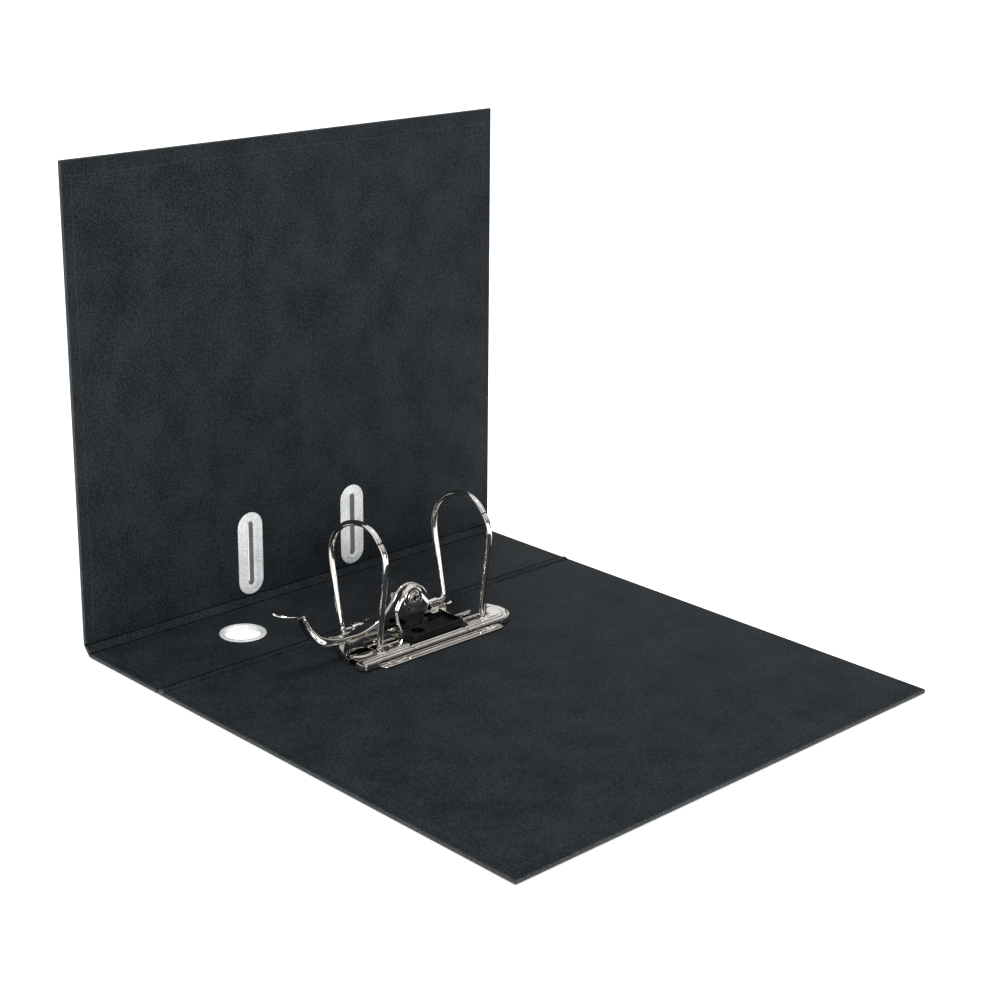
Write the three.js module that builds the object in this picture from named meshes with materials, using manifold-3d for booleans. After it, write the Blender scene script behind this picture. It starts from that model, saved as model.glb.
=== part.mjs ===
// A4 lever arch binder: paper-covered board case with a nickel-plated lever arch mechanism.
// Millimetres, +Z up. The back cover lies flat, the spine lies flat beside it, and the front
// cover stands upright. +Y runs along the spine and +X points to the back cover's fore edge.
import * as THREE from 'three';
import { mergeVertices } from 'three/addons/utils/BufferGeometryUtils.js';
import Module from 'manifold-3d';

const wasm = await Module();
wasm.setup();

// ---- Driving dimensions of the case ----
const CASE_HEIGHT = 318;
const COVER_WIDTH = 281;
const SPINE_WIDTH = 67.4;
const STRIP_WIDTH = 6;
const PANEL_THICK = 2.6;
const SKIN_THICK = 0.3;
const SKIN_GAP = 0.1;
const CREASE_GAP = 0.5;
const FORE_TURN_IN = 9;
const END_TURN_IN = 6;
const FOLD_ANGLE = Math.PI / 4;

// ---- Slot eyelets in the front cover ----
const RING_SPACING = 80;
const SLOT_FROM_CREASE = 27.2;
const SLOT_LENGTH = 42;
const SLOT_WIDTH = 5;
const EYELET_LENGTH = 52.8;
const EYELET_WIDTH = 18.4;
const EYELET_FLANGE = 0.8;
const EYELET_RIM = 1.2;
const FIT_GAP = 0.3;

// ---- Finger ring in the spine ----
const FINGER_FROM_CREASE = SPINE_WIDTH / 2;
const FINGER_Y = -75;
const FINGER_BORE = 11;
const FINGER_WALL = 0.8;
const FINGER_FLANGE = 14;
const FINGER_LIP = 0.8;
const RING_SIDES = 32;

// ---- Lever arch mechanism ----
const PLATE_TOP = 4.4;
const SHEET = 0.8;
const WIRE_RADIUS = 1.65;
const ARCH_Y = RING_SPACING / 2;
const SHAFT_X = 13.5;
const SHAFT_Z = 6.7;
const PIVOT_Y = -5;
const PIVOT_Z = 25.6;
const CRANK_REACH = 7;
const ROLLER_DROP = 13.5;
const CHEEK_FAR = 26;
const CHEEK_NEAR = 33.8;
const CHEEK_THICK = 1;
const EAR_X = 35.4;
const TAB_Y = -93.4;
const TAB_Z = 38;
const TAB_TILT = 0.22;
const TAB_THICK = 1.1;
const TAB_RADII = [7.2, 10];
const PLATE_LOW = 0.3;
const PLATE_REAR = 10;
const PLATE_FRONT = 57;
const PLATE_END = 60;
const RAILS = [[53.6, PLATE_TOP, 1.1, 54], [56.6, 3.2, 0.9, 52]];
const LENS_PADS = [[40.4, -48.6], [44.6, 52]];
const LENS_RADII = [6.5, 8.5];
const SADDLES = [[-30, 6], [-20, 5], [14, 5], [30, 6]];
const FOOT_REAR = 26.5;
const FOOT_NEAR = -13;
const FOOT_FAR = 3.6;
const PIVOT_SHANK = 2;
const PIVOT_BORE = 1.3;
const PIVOT_HEAD = 3.4;
const PIVOT_TAIL = 3.2;
const HEAD_THICK = 0.8;
const ROLLER_RADIUS = 2.7;
const ROLLER_SPAN = [18.3, 25.3];
const PIN_RADIUS = 1.2;
const PIN_SPAN = [17.4, 27.8];
const SPRING_SPAN = [17.8, 23.2];
const INSERT_RISE = 3.8;
const INSERT_PIT = [44.6, -8.6, 4.2];
const POST_X = 47.3;
const RIVET_X_FRONT = 57;
const RIVET_Y_FRONT = 39;
const RIVET_X_REAR = 10.4;
const RIVET_Y_REAR = 22;
const RIVET_SHANK = 1.8;
const RIVET_HEAD = 3.6;
const RIVET_WASHER = 4.2;
const SMALL_SHANK = 1.5;
const SMALL_HEAD = 2.4;

// ---- Materials ----
function finish(color, roughness, metalness) {
  return new THREE.MeshStandardMaterial({ color, roughness, metalness });
}
const COVERING = finish(0x2b2f31, 0.75, 0);
const LINING = finish(0x303436, 0.8, 0);
const BOARD = finish(0x77756f, 0.9, 0);
const GREY_PLASTIC = finish(0xb9bbbb, 0.55, 0);
const NICKEL = finish(0xcfcac4, 0.12, 1);
const SPRING_STEEL = finish(0x8d8c8a, 0.3, 1);
const BLACK_PLASTIC = finish(0x151617, 0.45, 0);

// ---- Solids: three.js shapes, with cuts and joins by manifold ----
function solid(geometry) {
  const bare = geometry.clone();
  bare.deleteAttribute('normal');
  bare.deleteAttribute('uv');
  const merged = mergeVertices(bare, 1e-4);
  const vertProperties = new Float32Array(merged.attributes.position.array);
  const triVerts = new Uint32Array(merged.index.array);
  return new wasm.Manifold(new wasm.Mesh({ numProp: 3, vertProperties, triVerts }));
}

function surface(shape) {
  const mesh = shape.getMesh();
  const geometry = new THREE.BufferGeometry();
  geometry.setAttribute('position', new THREE.BufferAttribute(mesh.vertProperties, 3));
  geometry.setIndex(new THREE.BufferAttribute(mesh.triVerts, 1));
  geometry.computeVertexNormals();
  return geometry;
}

function block(x0, x1, y0, y1, z0, z1) {
  const geometry = new THREE.BoxGeometry(x1 - x0, y1 - y0, z1 - z0);
  geometry.translate((x0 + x1) / 2, (y0 + y1) / 2, (z0 + z1) / 2);
  return solid(geometry);
}

function prism(shape, z0, z1, curveSegments = 6) {
  const geometry = new THREE.ExtrudeGeometry(shape, { depth: z1 - z0, bevelEnabled: false, curveSegments });
  geometry.translate(0, 0, z0);
  return solid(geometry);
}

// An outline in (y, z) pulled along X from x0 to x1.
function sidePrism(shape, x0, x1, curveSegments = 6) {
  const geometry = new THREE.ExtrudeGeometry(shape, { depth: x1 - x0, bevelEnabled: false, curveSegments });
  geometry.rotateY(Math.PI / 2);
  geometry.rotateX(Math.PI / 2);
  geometry.translate(x0, 0, 0);
  return solid(geometry);
}

function rod(radius, x, y, z0, z1, sides = 16) {
  const geometry = new THREE.CylinderGeometry(radius, radius, z1 - z0, sides);
  geometry.rotateX(Math.PI / 2);
  geometry.translate(x, y, (z0 + z1) / 2);
  return solid(geometry);
}

function crossRod(radius, y, z, x0, x1, sides = 16) {
  const geometry = new THREE.CylinderGeometry(radius, radius, x1 - x0, sides);
  geometry.rotateZ(Math.PI / 2);
  geometry.translate((x0 + x1) / 2, y, z);
  return solid(geometry);
}

function wireAlong(curve, radius, sides, steps) {
  const section = new THREE.Shape();
  for (let i = 0; i < sides; i++) {
    const a = (i / sides) * Math.PI * 2;
    if (i === 0) section.moveTo(radius, 0);
    else section.lineTo(radius * Math.cos(a), radius * Math.sin(a));
  }
  section.closePath();
  return new THREE.ExtrudeGeometry(section, { steps, extrudePath: curve, bevelEnabled: false });
}

function outline(points) {
  return new THREE.Shape(points.map(([a, b]) => new THREE.Vector2(a, b)));
}

// A slot outline centred at (cx, cy), with its length along X.
function slotOutline(cx, cy, length, width) {
  const r = width / 2;
  const reach = length / 2 - r;
  const shape = new THREE.Shape();
  shape.absarc(cx + reach, cy, r, -Math.PI / 2, Math.PI / 2, false);
  shape.absarc(cx - reach, cy, r, Math.PI / 2, Math.PI * 1.5, false);
  shape.closePath();
  return shape;
}

function add(group, name, geometry, material) {
  const mesh = new THREE.Mesh(geometry, material);
  mesh.name = name;
  group.add(mesh);
  return mesh;
}

function cut(body, tools) {
  return tools.reduce((shape, tool) => shape.subtract(tool), body);
}

function join(parts) {
  return parts.reduce((shape, part) => shape.add(part));
}

// ---- Case panels ----
// Each panel starts at its crease (local x = 0) and runs along side * X. Its inner face is z = 0.
// The covering wraps round the board's outer edges and is turned in, and the lining covers the rest.
function span(side, a, b) {
  return side > 0 ? [a, b] : [-b, -a];
}

function panelSolids(side, width, hasForeEdge) {
  const half = CASE_HEIGHT / 2;
  const end = hasForeEdge ? width : width - CREASE_GAP;
  const past = end + 1;
  const wrap = hasForeEdge ? end - SKIN_THICK : past;
  const window = hasForeEdge ? end - FORE_TURN_IN : past;
  const boardEnd = hasForeEdge ? end - SKIN_THICK - SKIN_GAP : end;
  const liningEnd = hasForeEdge ? window - SKIN_GAP : end;
  const inside = half - SKIN_THICK;
  const open = half - END_TURN_IN;
  const covering = cut(block(...span(side, CREASE_GAP, end), -half, half, -PANEL_THICK, 0), [
    block(...span(side, -1, wrap), -inside, inside, -PANEL_THICK + SKIN_THICK, -SKIN_THICK),
    block(...span(side, -1, window), -open, open, -1, 1),
  ]);
  const boardHalf = inside - SKIN_GAP;
  const boardLow = -PANEL_THICK + SKIN_THICK + SKIN_GAP;
  const boardHigh = -SKIN_THICK - SKIN_GAP;
  const board = block(...span(side, CREASE_GAP, boardEnd), -boardHalf, boardHalf, boardLow, boardHigh);
  const liningHalf = open - SKIN_GAP;
  const lining = block(...span(side, CREASE_GAP, liningEnd), -liningHalf, liningHalf, -SKIN_THICK, 0);
  return { covering, board, lining };
}

function addPanel(group, name, panel) {
  add(group, `${name}_covering`, surface(panel.covering), COVERING);
  add(group, `${name}_board`, surface(panel.board), BOARD);
  add(group, `${name}_lining`, surface(panel.lining), LINING);
}

function cutPanel(panel, tools) {
  const { covering, board, lining } = panel;
  return { covering: cut(covering, tools), board: cut(board, tools), lining: cut(lining, tools) };
}

// ---- Front cover eyelets: a flanged slot liner from inside, and a clinch plate outside ----
function eyelet(cx, cy) {
  const barrelWide = SLOT_WIDTH + 4;
  const barrelLong = SLOT_LENGTH + 4;
  const flange = prism(slotOutline(cx, cy, EYELET_LENGTH, EYELET_WIDTH), 0.1, 0.1 + EYELET_FLANGE);
  const rim = prism(slotOutline(cx, cy, barrelLong, barrelWide), 0.2, 0.1 + EYELET_RIM);
  const barrel = prism(slotOutline(cx, cy, barrelLong, barrelWide), -PANEL_THICK - 0.4, 0.3);
  const slot = prism(slotOutline(cx, cy, SLOT_LENGTH, SLOT_WIDTH), -10, 10);
  return join([flange, rim, barrel]).subtract(slot);
}

function clinchPlate(cx, cy) {
  const barrelHole = slotOutline(cx, cy, SLOT_LENGTH + 4 + 2 * FIT_GAP, SLOT_WIDTH + 4 + 2 * FIT_GAP);
  const plate = prism(slotOutline(cx, cy, EYELET_LENGTH, EYELET_WIDTH), -PANEL_THICK - 0.8, -PANEL_THICK - 0.1);
  return plate.subtract(prism(barrelHole, -10, 10));
}

function eyeletHole(cx, cy) {
  return prism(slotOutline(cx, cy, SLOT_LENGTH + 4 + 2 * FIT_GAP, SLOT_WIDTH + 4 + 2 * FIT_GAP), -10, 10);
}

// ---- Finger ring: two flanged halves pressed together through the spine ----
function fingerRingInner(cx, cy) {
  const flange = rod(FINGER_FLANGE, cx, cy, 0.1, 0.1 + FINGER_LIP, RING_SIDES);
  const sleeve = rod(FINGER_BORE + FINGER_WALL, cx, cy, -1.7, 0.5, RING_SIDES);
  return join([flange, sleeve]).subtract(rod(FINGER_BORE, cx, cy, -10, 10, RING_SIDES));
}

function fingerRingOuter(cx, cy) {
  const outer = FINGER_BORE + 2 * FINGER_WALL + FIT_GAP;
  const flange = rod(FINGER_FLANGE, cx, cy, -PANEL_THICK, -PANEL_THICK + FINGER_LIP, RING_SIDES);
  const sleeve = rod(outer, cx, cy, -PANEL_THICK + 0.2, -0.2, RING_SIDES);
  const bore = rod(FINGER_BORE + FINGER_WALL + FIT_GAP, cx, cy, -10, 10, RING_SIDES);
  return join([flange, sleeve]).subtract(bore);
}

function fingerHoles(cx, cy) {
  const outer = FINGER_BORE + 2 * FINGER_WALL + FIT_GAP;
  const recess = -PANEL_THICK + FINGER_LIP + FIT_GAP;
  return [
    rod(outer + FIT_GAP, cx, cy, -10, 10, RING_SIDES),
    rod(FINGER_FLANGE + FIT_GAP, cx, cy, -10, recess, RING_SIDES),
  ];
}

// ---- Base plate: a pressed steel tray with flanges for the fixing rivets ----
function plateOutline(inset) {
  const x0 = PLATE_REAR + inset;
  const x1 = PLATE_FRONT - inset;
  const y0 = -PLATE_END + inset;
  const y1 = PLATE_END - inset;
  const shape = new THREE.Shape();
  shape.moveTo(x0, y0 + 14);
  shape.lineTo(x0 + 27, y0 + 2);
  shape.quadraticCurveTo(x0 + 31, y0, x0 + 35, y0);
  shape.lineTo(x1 - 4, y0);
  shape.quadraticCurveTo(x1, y0, x1, y0 + 4);
  shape.lineTo(x1, y1 - 10);
  shape.quadraticCurveTo(x1 - 1, y1, x1 - 13, y1);
  shape.quadraticCurveTo(x1 - 22, y1, x0 + 18, y1 - 6);
  shape.lineTo(x0, y1 - 14);
  shape.closePath();
  return shape;
}

function lensPad(cx, cy) {
  const shape = new THREE.Shape();
  shape.absellipse(cx, cy, ...LENS_RADII, 0, Math.PI * 2, false, 0);
  return prism(shape, PLATE_TOP - 0.4, PLATE_TOP + 0.7, 10);
}

function rail(x, z, radius, halfLength) {
  const geometry = new THREE.CylinderGeometry(radius, radius, 2 * halfLength, 12);
  geometry.translate(x, 0, z);
  return solid(geometry);
}

function shaftSaddle(y, width) {
  const inner = WIRE_RADIUS + FIT_GAP;
  const outer = inner + SHEET;
  const shape = new THREE.Shape();
  shape.moveTo(SHAFT_X + outer, PLATE_TOP - 0.4);
  shape.lineTo(SHAFT_X + outer, SHAFT_Z);
  shape.absarc(SHAFT_X, SHAFT_Z, outer, 0, Math.PI, false);
  shape.lineTo(SHAFT_X - outer, PLATE_TOP - 0.4);
  shape.lineTo(SHAFT_X - inner, PLATE_TOP - 0.4);
  shape.lineTo(SHAFT_X - inner, SHAFT_Z);
  shape.absarc(SHAFT_X, SHAFT_Z, inner, Math.PI, 0, true);
  shape.lineTo(SHAFT_X + inner, PLATE_TOP - 0.4);
  shape.closePath();
  const geometry = new THREE.ExtrudeGeometry(shape, { depth: width, bevelEnabled: false, curveSegments: 6 });
  geometry.rotateX(Math.PI / 2);
  geometry.translate(0, y + width / 2, 0);
  return solid(geometry);
}

const RIVET_PLACES = [
  ['fixing_rivet_front_near', RIVET_X_FRONT, -RIVET_Y_FRONT],
  ['fixing_rivet_front_far', RIVET_X_FRONT, RIVET_Y_FRONT],
  ['fixing_rivet_rear_near', RIVET_X_REAR, -RIVET_Y_REAR],
  ['fixing_rivet_rear_far', RIVET_X_REAR, RIVET_Y_REAR],
];
const BRACKET_RIVETS = [
  ['bracket_rivet_near', 30.4, -10],
  ['bracket_rivet_far', 30.4, 0.4],
];

function basePlate() {
  const low = PLATE_LOW;
  const tray = prism(plateOutline(0), low, PLATE_TOP);
  const hollow = prism(plateOutline(SHEET), -1, PLATE_TOP - SHEET);
  const frontFlange = block(PLATE_FRONT - 1.5, PLATE_FRONT + 4.5, -46, 44, low, low + SHEET);
  const rearFlange = block(PLATE_REAR - 4.4, PLATE_REAR + 1, -30, 30, low, low + SHEET);
  const body = join([
    tray.subtract(hollow),
    frontFlange,
    rearFlange,
    ...RAILS.map((place) => rail(...place)),
    ...LENS_PADS.map((place) => lensPad(...place)),
    ...SADDLES.map((place) => shaftSaddle(...place)),
  ]);
  const notch = block(43, 50, -PLATE_END - 1, -PLATE_END + 2, -1, PLATE_TOP - SHEET - 0.4);
  const crankWindow = block(SHAFT_X + 2.7, SHAFT_X + 11.5, PIVOT_Y - 8, PIVOT_Y + 8, 1, 10);
  const postHoles = [-ARCH_Y, ARCH_Y].map((y) => rod(WIRE_RADIUS + FIT_GAP, POST_X, y, 1, 10));
  const headRooms = RIVET_PLACES.map(([, x, y]) =>
    rod(RIVET_HEAD + 0.5, x, y, low + SHEET, PLATE_TOP - SHEET));
  const shankHoles = RIVET_PLACES.map(([, x, y]) => rod(RIVET_SHANK + FIT_GAP, x, y, -1, 2));
  const bracketHoles = BRACKET_RIVETS.map(([, x, y]) => rod(SMALL_SHANK + FIT_GAP, x, y, 2, 10));
  return cut(body, [notch, crankWindow, ...postHoles, ...headRooms, ...shankHoles, ...bracketHoles]);
}

// ---- Bracket: a riveted foot with one upright ear for the lever's pivot ----
function bracket() {
  const footLow = PLATE_TOP + FIT_GAP;
  const foot = block(FOOT_REAR, EAR_X + SHEET, FOOT_NEAR, FOOT_FAR, footLow, footLow + SHEET);
  const shape = new THREE.Shape();
  shape.moveTo(FOOT_NEAR, footLow);
  shape.lineTo(FOOT_FAR, footLow);
  shape.lineTo(4.6, 9.6);
  shape.lineTo(10.8, 18.4);
  shape.quadraticCurveTo(9, 23, -2.4, 32.8);
  shape.quadraticCurveTo(-6, 35.6, -10, 31.4);
  shape.quadraticCurveTo(-15, 25.4, -17.4, 20.4);
  shape.quadraticCurveTo(-17.4, 13, -15, 9.6);
  shape.closePath();
  const ear = sidePrism(shape, EAR_X, EAR_X + SHEET);
  const holes = BRACKET_RIVETS.map(([, x, y]) => rod(SMALL_SHANK + FIT_GAP, x, y, 2, 10));
  const pivotHole = crossRod(PIVOT_SHANK + FIT_GAP, PIVOT_Y, PIVOT_Z, 30, 40);
  return cut(join([foot, ear]), [pivotHole, ...holes]);
}

// ---- Lever: one channel-section pressing with a flat thumb tab ----
const LEVER_WEB = [
  [-84.4, 36], [-81.6, 32.4], [-77.6, 25], [-72.4, 19], [-66, 15.6], [-60, 14.2], [-51.7, 13.4],
  [-43.2, 13.2], [-35.7, 14.7], [-28.4, 17.8], [-22.6, 22.6], [-18, 27.8], [-15.8, 31.4],
  [-11.4, 34.3], [-6.5, 34.9], [-1, 33.2], [4.5, 29.4], [8.2, 24.2], [9.6, 18.5],
];

const WEB_STEPS = 34;

function webBand(thickness) {
  const curve = new THREE.CatmullRomCurve3(LEVER_WEB.map(([y, z]) => new THREE.Vector3(y, z, 0)));
  const line = curve.getPoints(WEB_STEPS);
  const upper = [];
  const lower = [];
  line.forEach((p, i) => {
    const along = curve.getTangent(i / WEB_STEPS);
    upper.push([p.x, p.y]);
    lower.push([p.x + along.y * thickness, p.y - along.x * thickness]);
  });
  return outline([...upper, ...lower.reverse()].reverse());
}

function cheekOutline() {
  const lowerEdge = [
    [4.5, 10.2], [-9, 10.2], [-14, 11.2], [-20, 10.8], [-27, 10.2], [-37, 9.4], [-48, 9.4],
    [-58, 10], [-64.5, 10.8], [-69.5, 12.4], [-74.6, 15.2], [-79.4, 20.4], [-82.6, 26.2],
    [-83.4, 29.4], [-82.4, 31.4],
  ];
  const upperEdge = LEVER_WEB.slice(2).map(([y, z]) => [y, z - 0.2]);
  return outline([...upperEdge, ...lowerEdge].reverse());
}

function lever() {
  const x0 = CHEEK_FAR;
  const x1 = CHEEK_NEAR + CHEEK_THICK;
  const tab = new THREE.Shape();
  tab.absellipse((x0 + x1) / 2, TAB_Y, ...TAB_RADII, 0, Math.PI * 2, false, 0);
  const tabSolid = new THREE.ExtrudeGeometry(tab, { depth: TAB_THICK, bevelEnabled: false, curveSegments: 14 });
  tabSolid.translate(0, 0, -TAB_THICK / 2);
  tabSolid.translate(0, -TAB_Y, 0);
  tabSolid.rotateX(-TAB_TILT);
  tabSolid.translate(0, TAB_Y, TAB_Z);
  const cheek = cheekOutline();
  const body = join([
    sidePrism(webBand(CHEEK_THICK), x0, x1),
    sidePrism(cheek, x0, x0 + CHEEK_THICK),
    sidePrism(cheek, CHEEK_NEAR, x1),
    solid(tabSolid),
  ]);
  const pivotHole = crossRod(PIVOT_SHANK + FIT_GAP, PIVOT_Y, PIVOT_Z, 20, 40);
  const pinHole = crossRod(PIN_RADIUS + FIT_GAP, PIVOT_Y, PIVOT_Z - ROLLER_DROP, 20, 30);
  return cut(body, [pivotHole, pinHole]);
}

function pivotRivet() {
  const y = PIVOT_Y;
  const z = PIVOT_Z;
  const headX = EAR_X + SHEET + FIT_GAP;
  const tailX = CHEEK_FAR - FIT_GAP;
  const shank = crossRod(PIVOT_SHANK, y, z, tailX - 0.7, headX + 0.5);
  const head = crossRod(PIVOT_HEAD, y, z, headX, headX + HEAD_THICK);
  const tail = crossRod(PIVOT_TAIL, y, z, tailX - HEAD_THICK, tailX);
  return join([shank, head, tail]).subtract(crossRod(PIVOT_BORE, y, z, 20, 40));
}

function roller() {
  const z = PIVOT_Z - ROLLER_DROP;
  const bore = crossRod(PIN_RADIUS + FIT_GAP, PIVOT_Y, z, 10, 30);
  return crossRod(ROLLER_RADIUS, PIVOT_Y, z, ...ROLLER_SPAN).subtract(bore);
}

function rollerPin() {
  const z = PIVOT_Z - ROLLER_DROP;
  return join([
    crossRod(PIN_RADIUS, PIVOT_Y, z, ...PIN_SPAN),
    crossRod(PIN_RADIUS + 0.8, PIVOT_Y, z, PIN_SPAN[0] - 0.2, PIN_SPAN[0] + 0.6),
    crossRod(PIN_RADIUS + 0.7, PIVOT_Y, z, PIN_SPAN[1] - 0.5, PIN_SPAN[1] + 0.2),
  ]);
}

// ---- Wires: the fixed posts and the moving arches ----
// The profile is one loop in (x, z). The posts are its front part, the arches the rest.
const SPLIT_AT_POST = [48.4, 70.2];
const SPLIT_AT_ARCH = [48, 70.6];
const POST_PROFILE = [
  [POST_X, PLATE_TOP - SHEET + 0.1], [47.6, 11.3], [49, 23], [50.6, 35.6], [52.6, 52.2],
  [53.1, 59.6], [51.7, 65.6], SPLIT_AT_POST,
];
const ARCH_PROFILE = [
  SPLIT_AT_ARCH, [44.6, 74.2], [39.6, 77], [32.6, 78.3], [24.4, 77.3], [17, 74.3],
  [10.7, 69.2], [6.3, 62.8], [4.4, 55.5], [4.9, 47.1], [7.2, 35.6], [10.1, 21.4], [12.3, 11.7],
];

function post(y) {
  const points = POST_PROFILE.map(([x, z]) => new THREE.Vector3(x, y, z));
  return wireAlong(new THREE.CatmullRomCurve3(points, false, 'centripetal'), WIRE_RADIUS, 10, 22);
}

// The moving wire is one loop half: down each leg, along the shaft, and out to the crank and back.
function archWire() {
  const crankX = SHAFT_X + CRANK_REACH;
  const loop = ARCH_PROFILE.map(([x, z]) => new THREE.Vector3(x, ARCH_Y, z));
  const mirrored = loop.map((p) => new THREE.Vector3(p.x, -p.y, p.z)).reverse();
  const corners = [
    [SHAFT_X, ARCH_Y], [SHAFT_X, PIVOT_Y + 6], [crankX, PIVOT_Y + 3],
    [crankX, PIVOT_Y - 3], [SHAFT_X, PIVOT_Y - 6], [SHAFT_X, -ARCH_Y],
  ].map(([x, y]) => new THREE.Vector3(x, y, SHAFT_Z));
  const path = new THREE.CurvePath();
  path.add(new THREE.CatmullRomCurve3(loop, false, 'centripetal'));
  addBends(path, [loop.at(-1), ...corners, mirrored[0]], [4, 2.5, 1.8, 1.8, 2.5, 4]);
  path.add(new THREE.CatmullRomCurve3(mirrored, false, 'centripetal'));
  return wireAlong(path, WIRE_RADIUS, 10, 132);
}

// Straight runs from corner to corner, each corner rounded over its own reach.
function addBends(path, points, reaches) {
  let start = points[0];
  reaches.forEach((reach, i) => {
    const corner = points[i + 1];
    const back = points[i].clone().sub(corner).normalize().multiplyScalar(reach).add(corner);
    const ahead = points[i + 2].clone().sub(corner).normalize().multiplyScalar(reach).add(corner);
    path.add(new THREE.LineCurve3(start, back));
    path.add(new THREE.QuadraticBezierCurve3(back, corner, ahead));
    start = ahead;
  });
  path.add(new THREE.LineCurve3(start, points.at(-1)));
}

// ---- Leaf spring under the crank: its ends bear on the cover and its crown lifts the wire ----
function leafSpring() {
  const shape = new THREE.Shape();
  const y = PIVOT_Y;
  shape.moveTo(y - 14, 0.5);
  shape.quadraticCurveTo(y - 6, 0.9, y - 3, 3.3);
  shape.quadraticCurveTo(y, 4.9, y + 3, 3.3);
  shape.quadraticCurveTo(y + 6, 0.9, y + 14, 0.5);
  shape.lineTo(y + 14, 1);
  shape.quadraticCurveTo(y + 6.5, 1.4, y + 3, 3.9);
  shape.quadraticCurveTo(y, 5.1, y - 3, 3.9);
  shape.quadraticCurveTo(y - 6.5, 1.4, y - 14, 1);
  shape.closePath();
  return sidePrism(shape, ...SPRING_SPAN, 6);
}

// ---- Black moulded insert on the base plate, in front of the lever ----
function plasticInsert() {
  const low = PLATE_TOP + FIT_GAP;
  const shape = new THREE.Shape();
  shape.moveTo(37.4, -10);
  shape.quadraticCurveTo(37.4, -17.6, 44.4, -17.6);
  shape.quadraticCurveTo(51, -17.6, 51, -11);
  shape.lineTo(49.4, 23.6);
  shape.lineTo(30.2, 23.6);
  shape.lineTo(30.2, 11.6);
  shape.lineTo(37.4, 11.6);
  shape.closePath();
  const body = prism(shape, low, low + INSERT_RISE);
  const [pitX, pitY, pitRadius] = INSERT_PIT;
  const pit = rod(pitRadius, pitX, pitY, 0, 10);
  const recess = block(31.2, 47.8, 13, 22.6, low + 1.6, 10);
  return cut(body, [pit, recess]);
}

function fixingRivet(x, y) {
  return join([
    rod(RIVET_SHANK, x, y, -PANEL_THICK + 0.1, 2),
    rod(RIVET_HEAD, x, y, PLATE_LOW + SHEET + 0.1, 2.4),
    rod(RIVET_WASHER, x, y, -PANEL_THICK, -PANEL_THICK + 0.7),
  ]);
}

function rivetHoles(x, y) {
  return [
    rod(RIVET_SHANK + FIT_GAP, x, y, -10, 10),
    rod(RIVET_WASHER + FIT_GAP, x, y, -10, -PANEL_THICK + 0.7 + FIT_GAP),
  ];
}

function bracketRivet(x, y) {
  const top = PLATE_TOP + FIT_GAP + SHEET;
  return join([
    rod(SMALL_SHANK, x, y, 3, top + 0.5, 16),
    rod(SMALL_HEAD, x, y, top + 0.1, top + HEAD_THICK, 16),
    rod(SMALL_HEAD, x, y, PLATE_TOP - SHEET - 0.9, PLATE_TOP - SHEET - 0.1, 16),
  ]);
}

// ---- Assembly ----
const cosFold = Math.cos(FOLD_ANGLE);
const frontInnerX = -STRIP_WIDTH / 2 - SPINE_WIDTH - STRIP_WIDTH * cosFold;
const lowestX = frontInnerX - PANEL_THICK - 0.8;
const highestX = STRIP_WIDTH / 2 + COVER_WIDTH;
const centreX = (lowestX + highestX) / 2;

const binder = new THREE.Group();
binder.position.set(-centreX, 0, PANEL_THICK);

function buildBackCover() {
  const group = new THREE.Group();
  const shift = -STRIP_WIDTH / 2;
  const holes = RIVET_PLACES.flatMap(([, x, y]) => rivetHoles(x + shift, y));
  group.position.x = STRIP_WIDTH / 2;
  addPanel(group, 'back_cover', cutPanel(panelSolids(1, COVER_WIDTH, true), holes));
  binder.add(group);
}

function buildCaseFromSpine() {
  const backStrip = new THREE.Group();
  backStrip.position.x = STRIP_WIDTH / 2;
  addPanel(backStrip, 'back_hinge', panelSolids(-1, STRIP_WIDTH, false));
  const spine = new THREE.Group();
  spine.position.x = -STRIP_WIDTH / 2;
  const spinePanel = panelSolids(-1, SPINE_WIDTH, false);
  addPanel(spine, 'spine', cutPanel(spinePanel, fingerHoles(-FINGER_FROM_CREASE, FINGER_Y)));
  add(spine, 'finger_ring_inner', surface(fingerRingInner(-FINGER_FROM_CREASE, FINGER_Y)), GREY_PLASTIC);
  add(spine, 'finger_ring_outer', surface(fingerRingOuter(-FINGER_FROM_CREASE, FINGER_Y)), GREY_PLASTIC);
  const frontStrip = new THREE.Group();
  frontStrip.position.x = -SPINE_WIDTH;
  frontStrip.rotation.y = FOLD_ANGLE;
  addPanel(frontStrip, 'front_hinge', panelSolids(-1, STRIP_WIDTH, false));
  spine.add(frontStrip);
  const front = new THREE.Group();
  front.position.x = -STRIP_WIDTH;
  front.rotation.y = FOLD_ANGLE;
  buildFrontCover(front);
  frontStrip.add(front);
  binder.add(backStrip, spine);
}

function buildFrontCover(group) {
  const places = [['near', -ARCH_Y], ['far', ARCH_Y]];
  const holes = places.map(([, y]) => eyeletHole(-SLOT_FROM_CREASE, y));
  addPanel(group, 'front_cover', cutPanel(panelSolids(-1, COVER_WIDTH, true), holes));
  for (const [name, y] of places) {
    add(group, `${name}_slot_eyelet`, surface(eyelet(-SLOT_FROM_CREASE, y)), GREY_PLASTIC);
    add(group, `${name}_slot_clinch_plate`, surface(clinchPlate(-SLOT_FROM_CREASE, y)), GREY_PLASTIC);
  }
}

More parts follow.
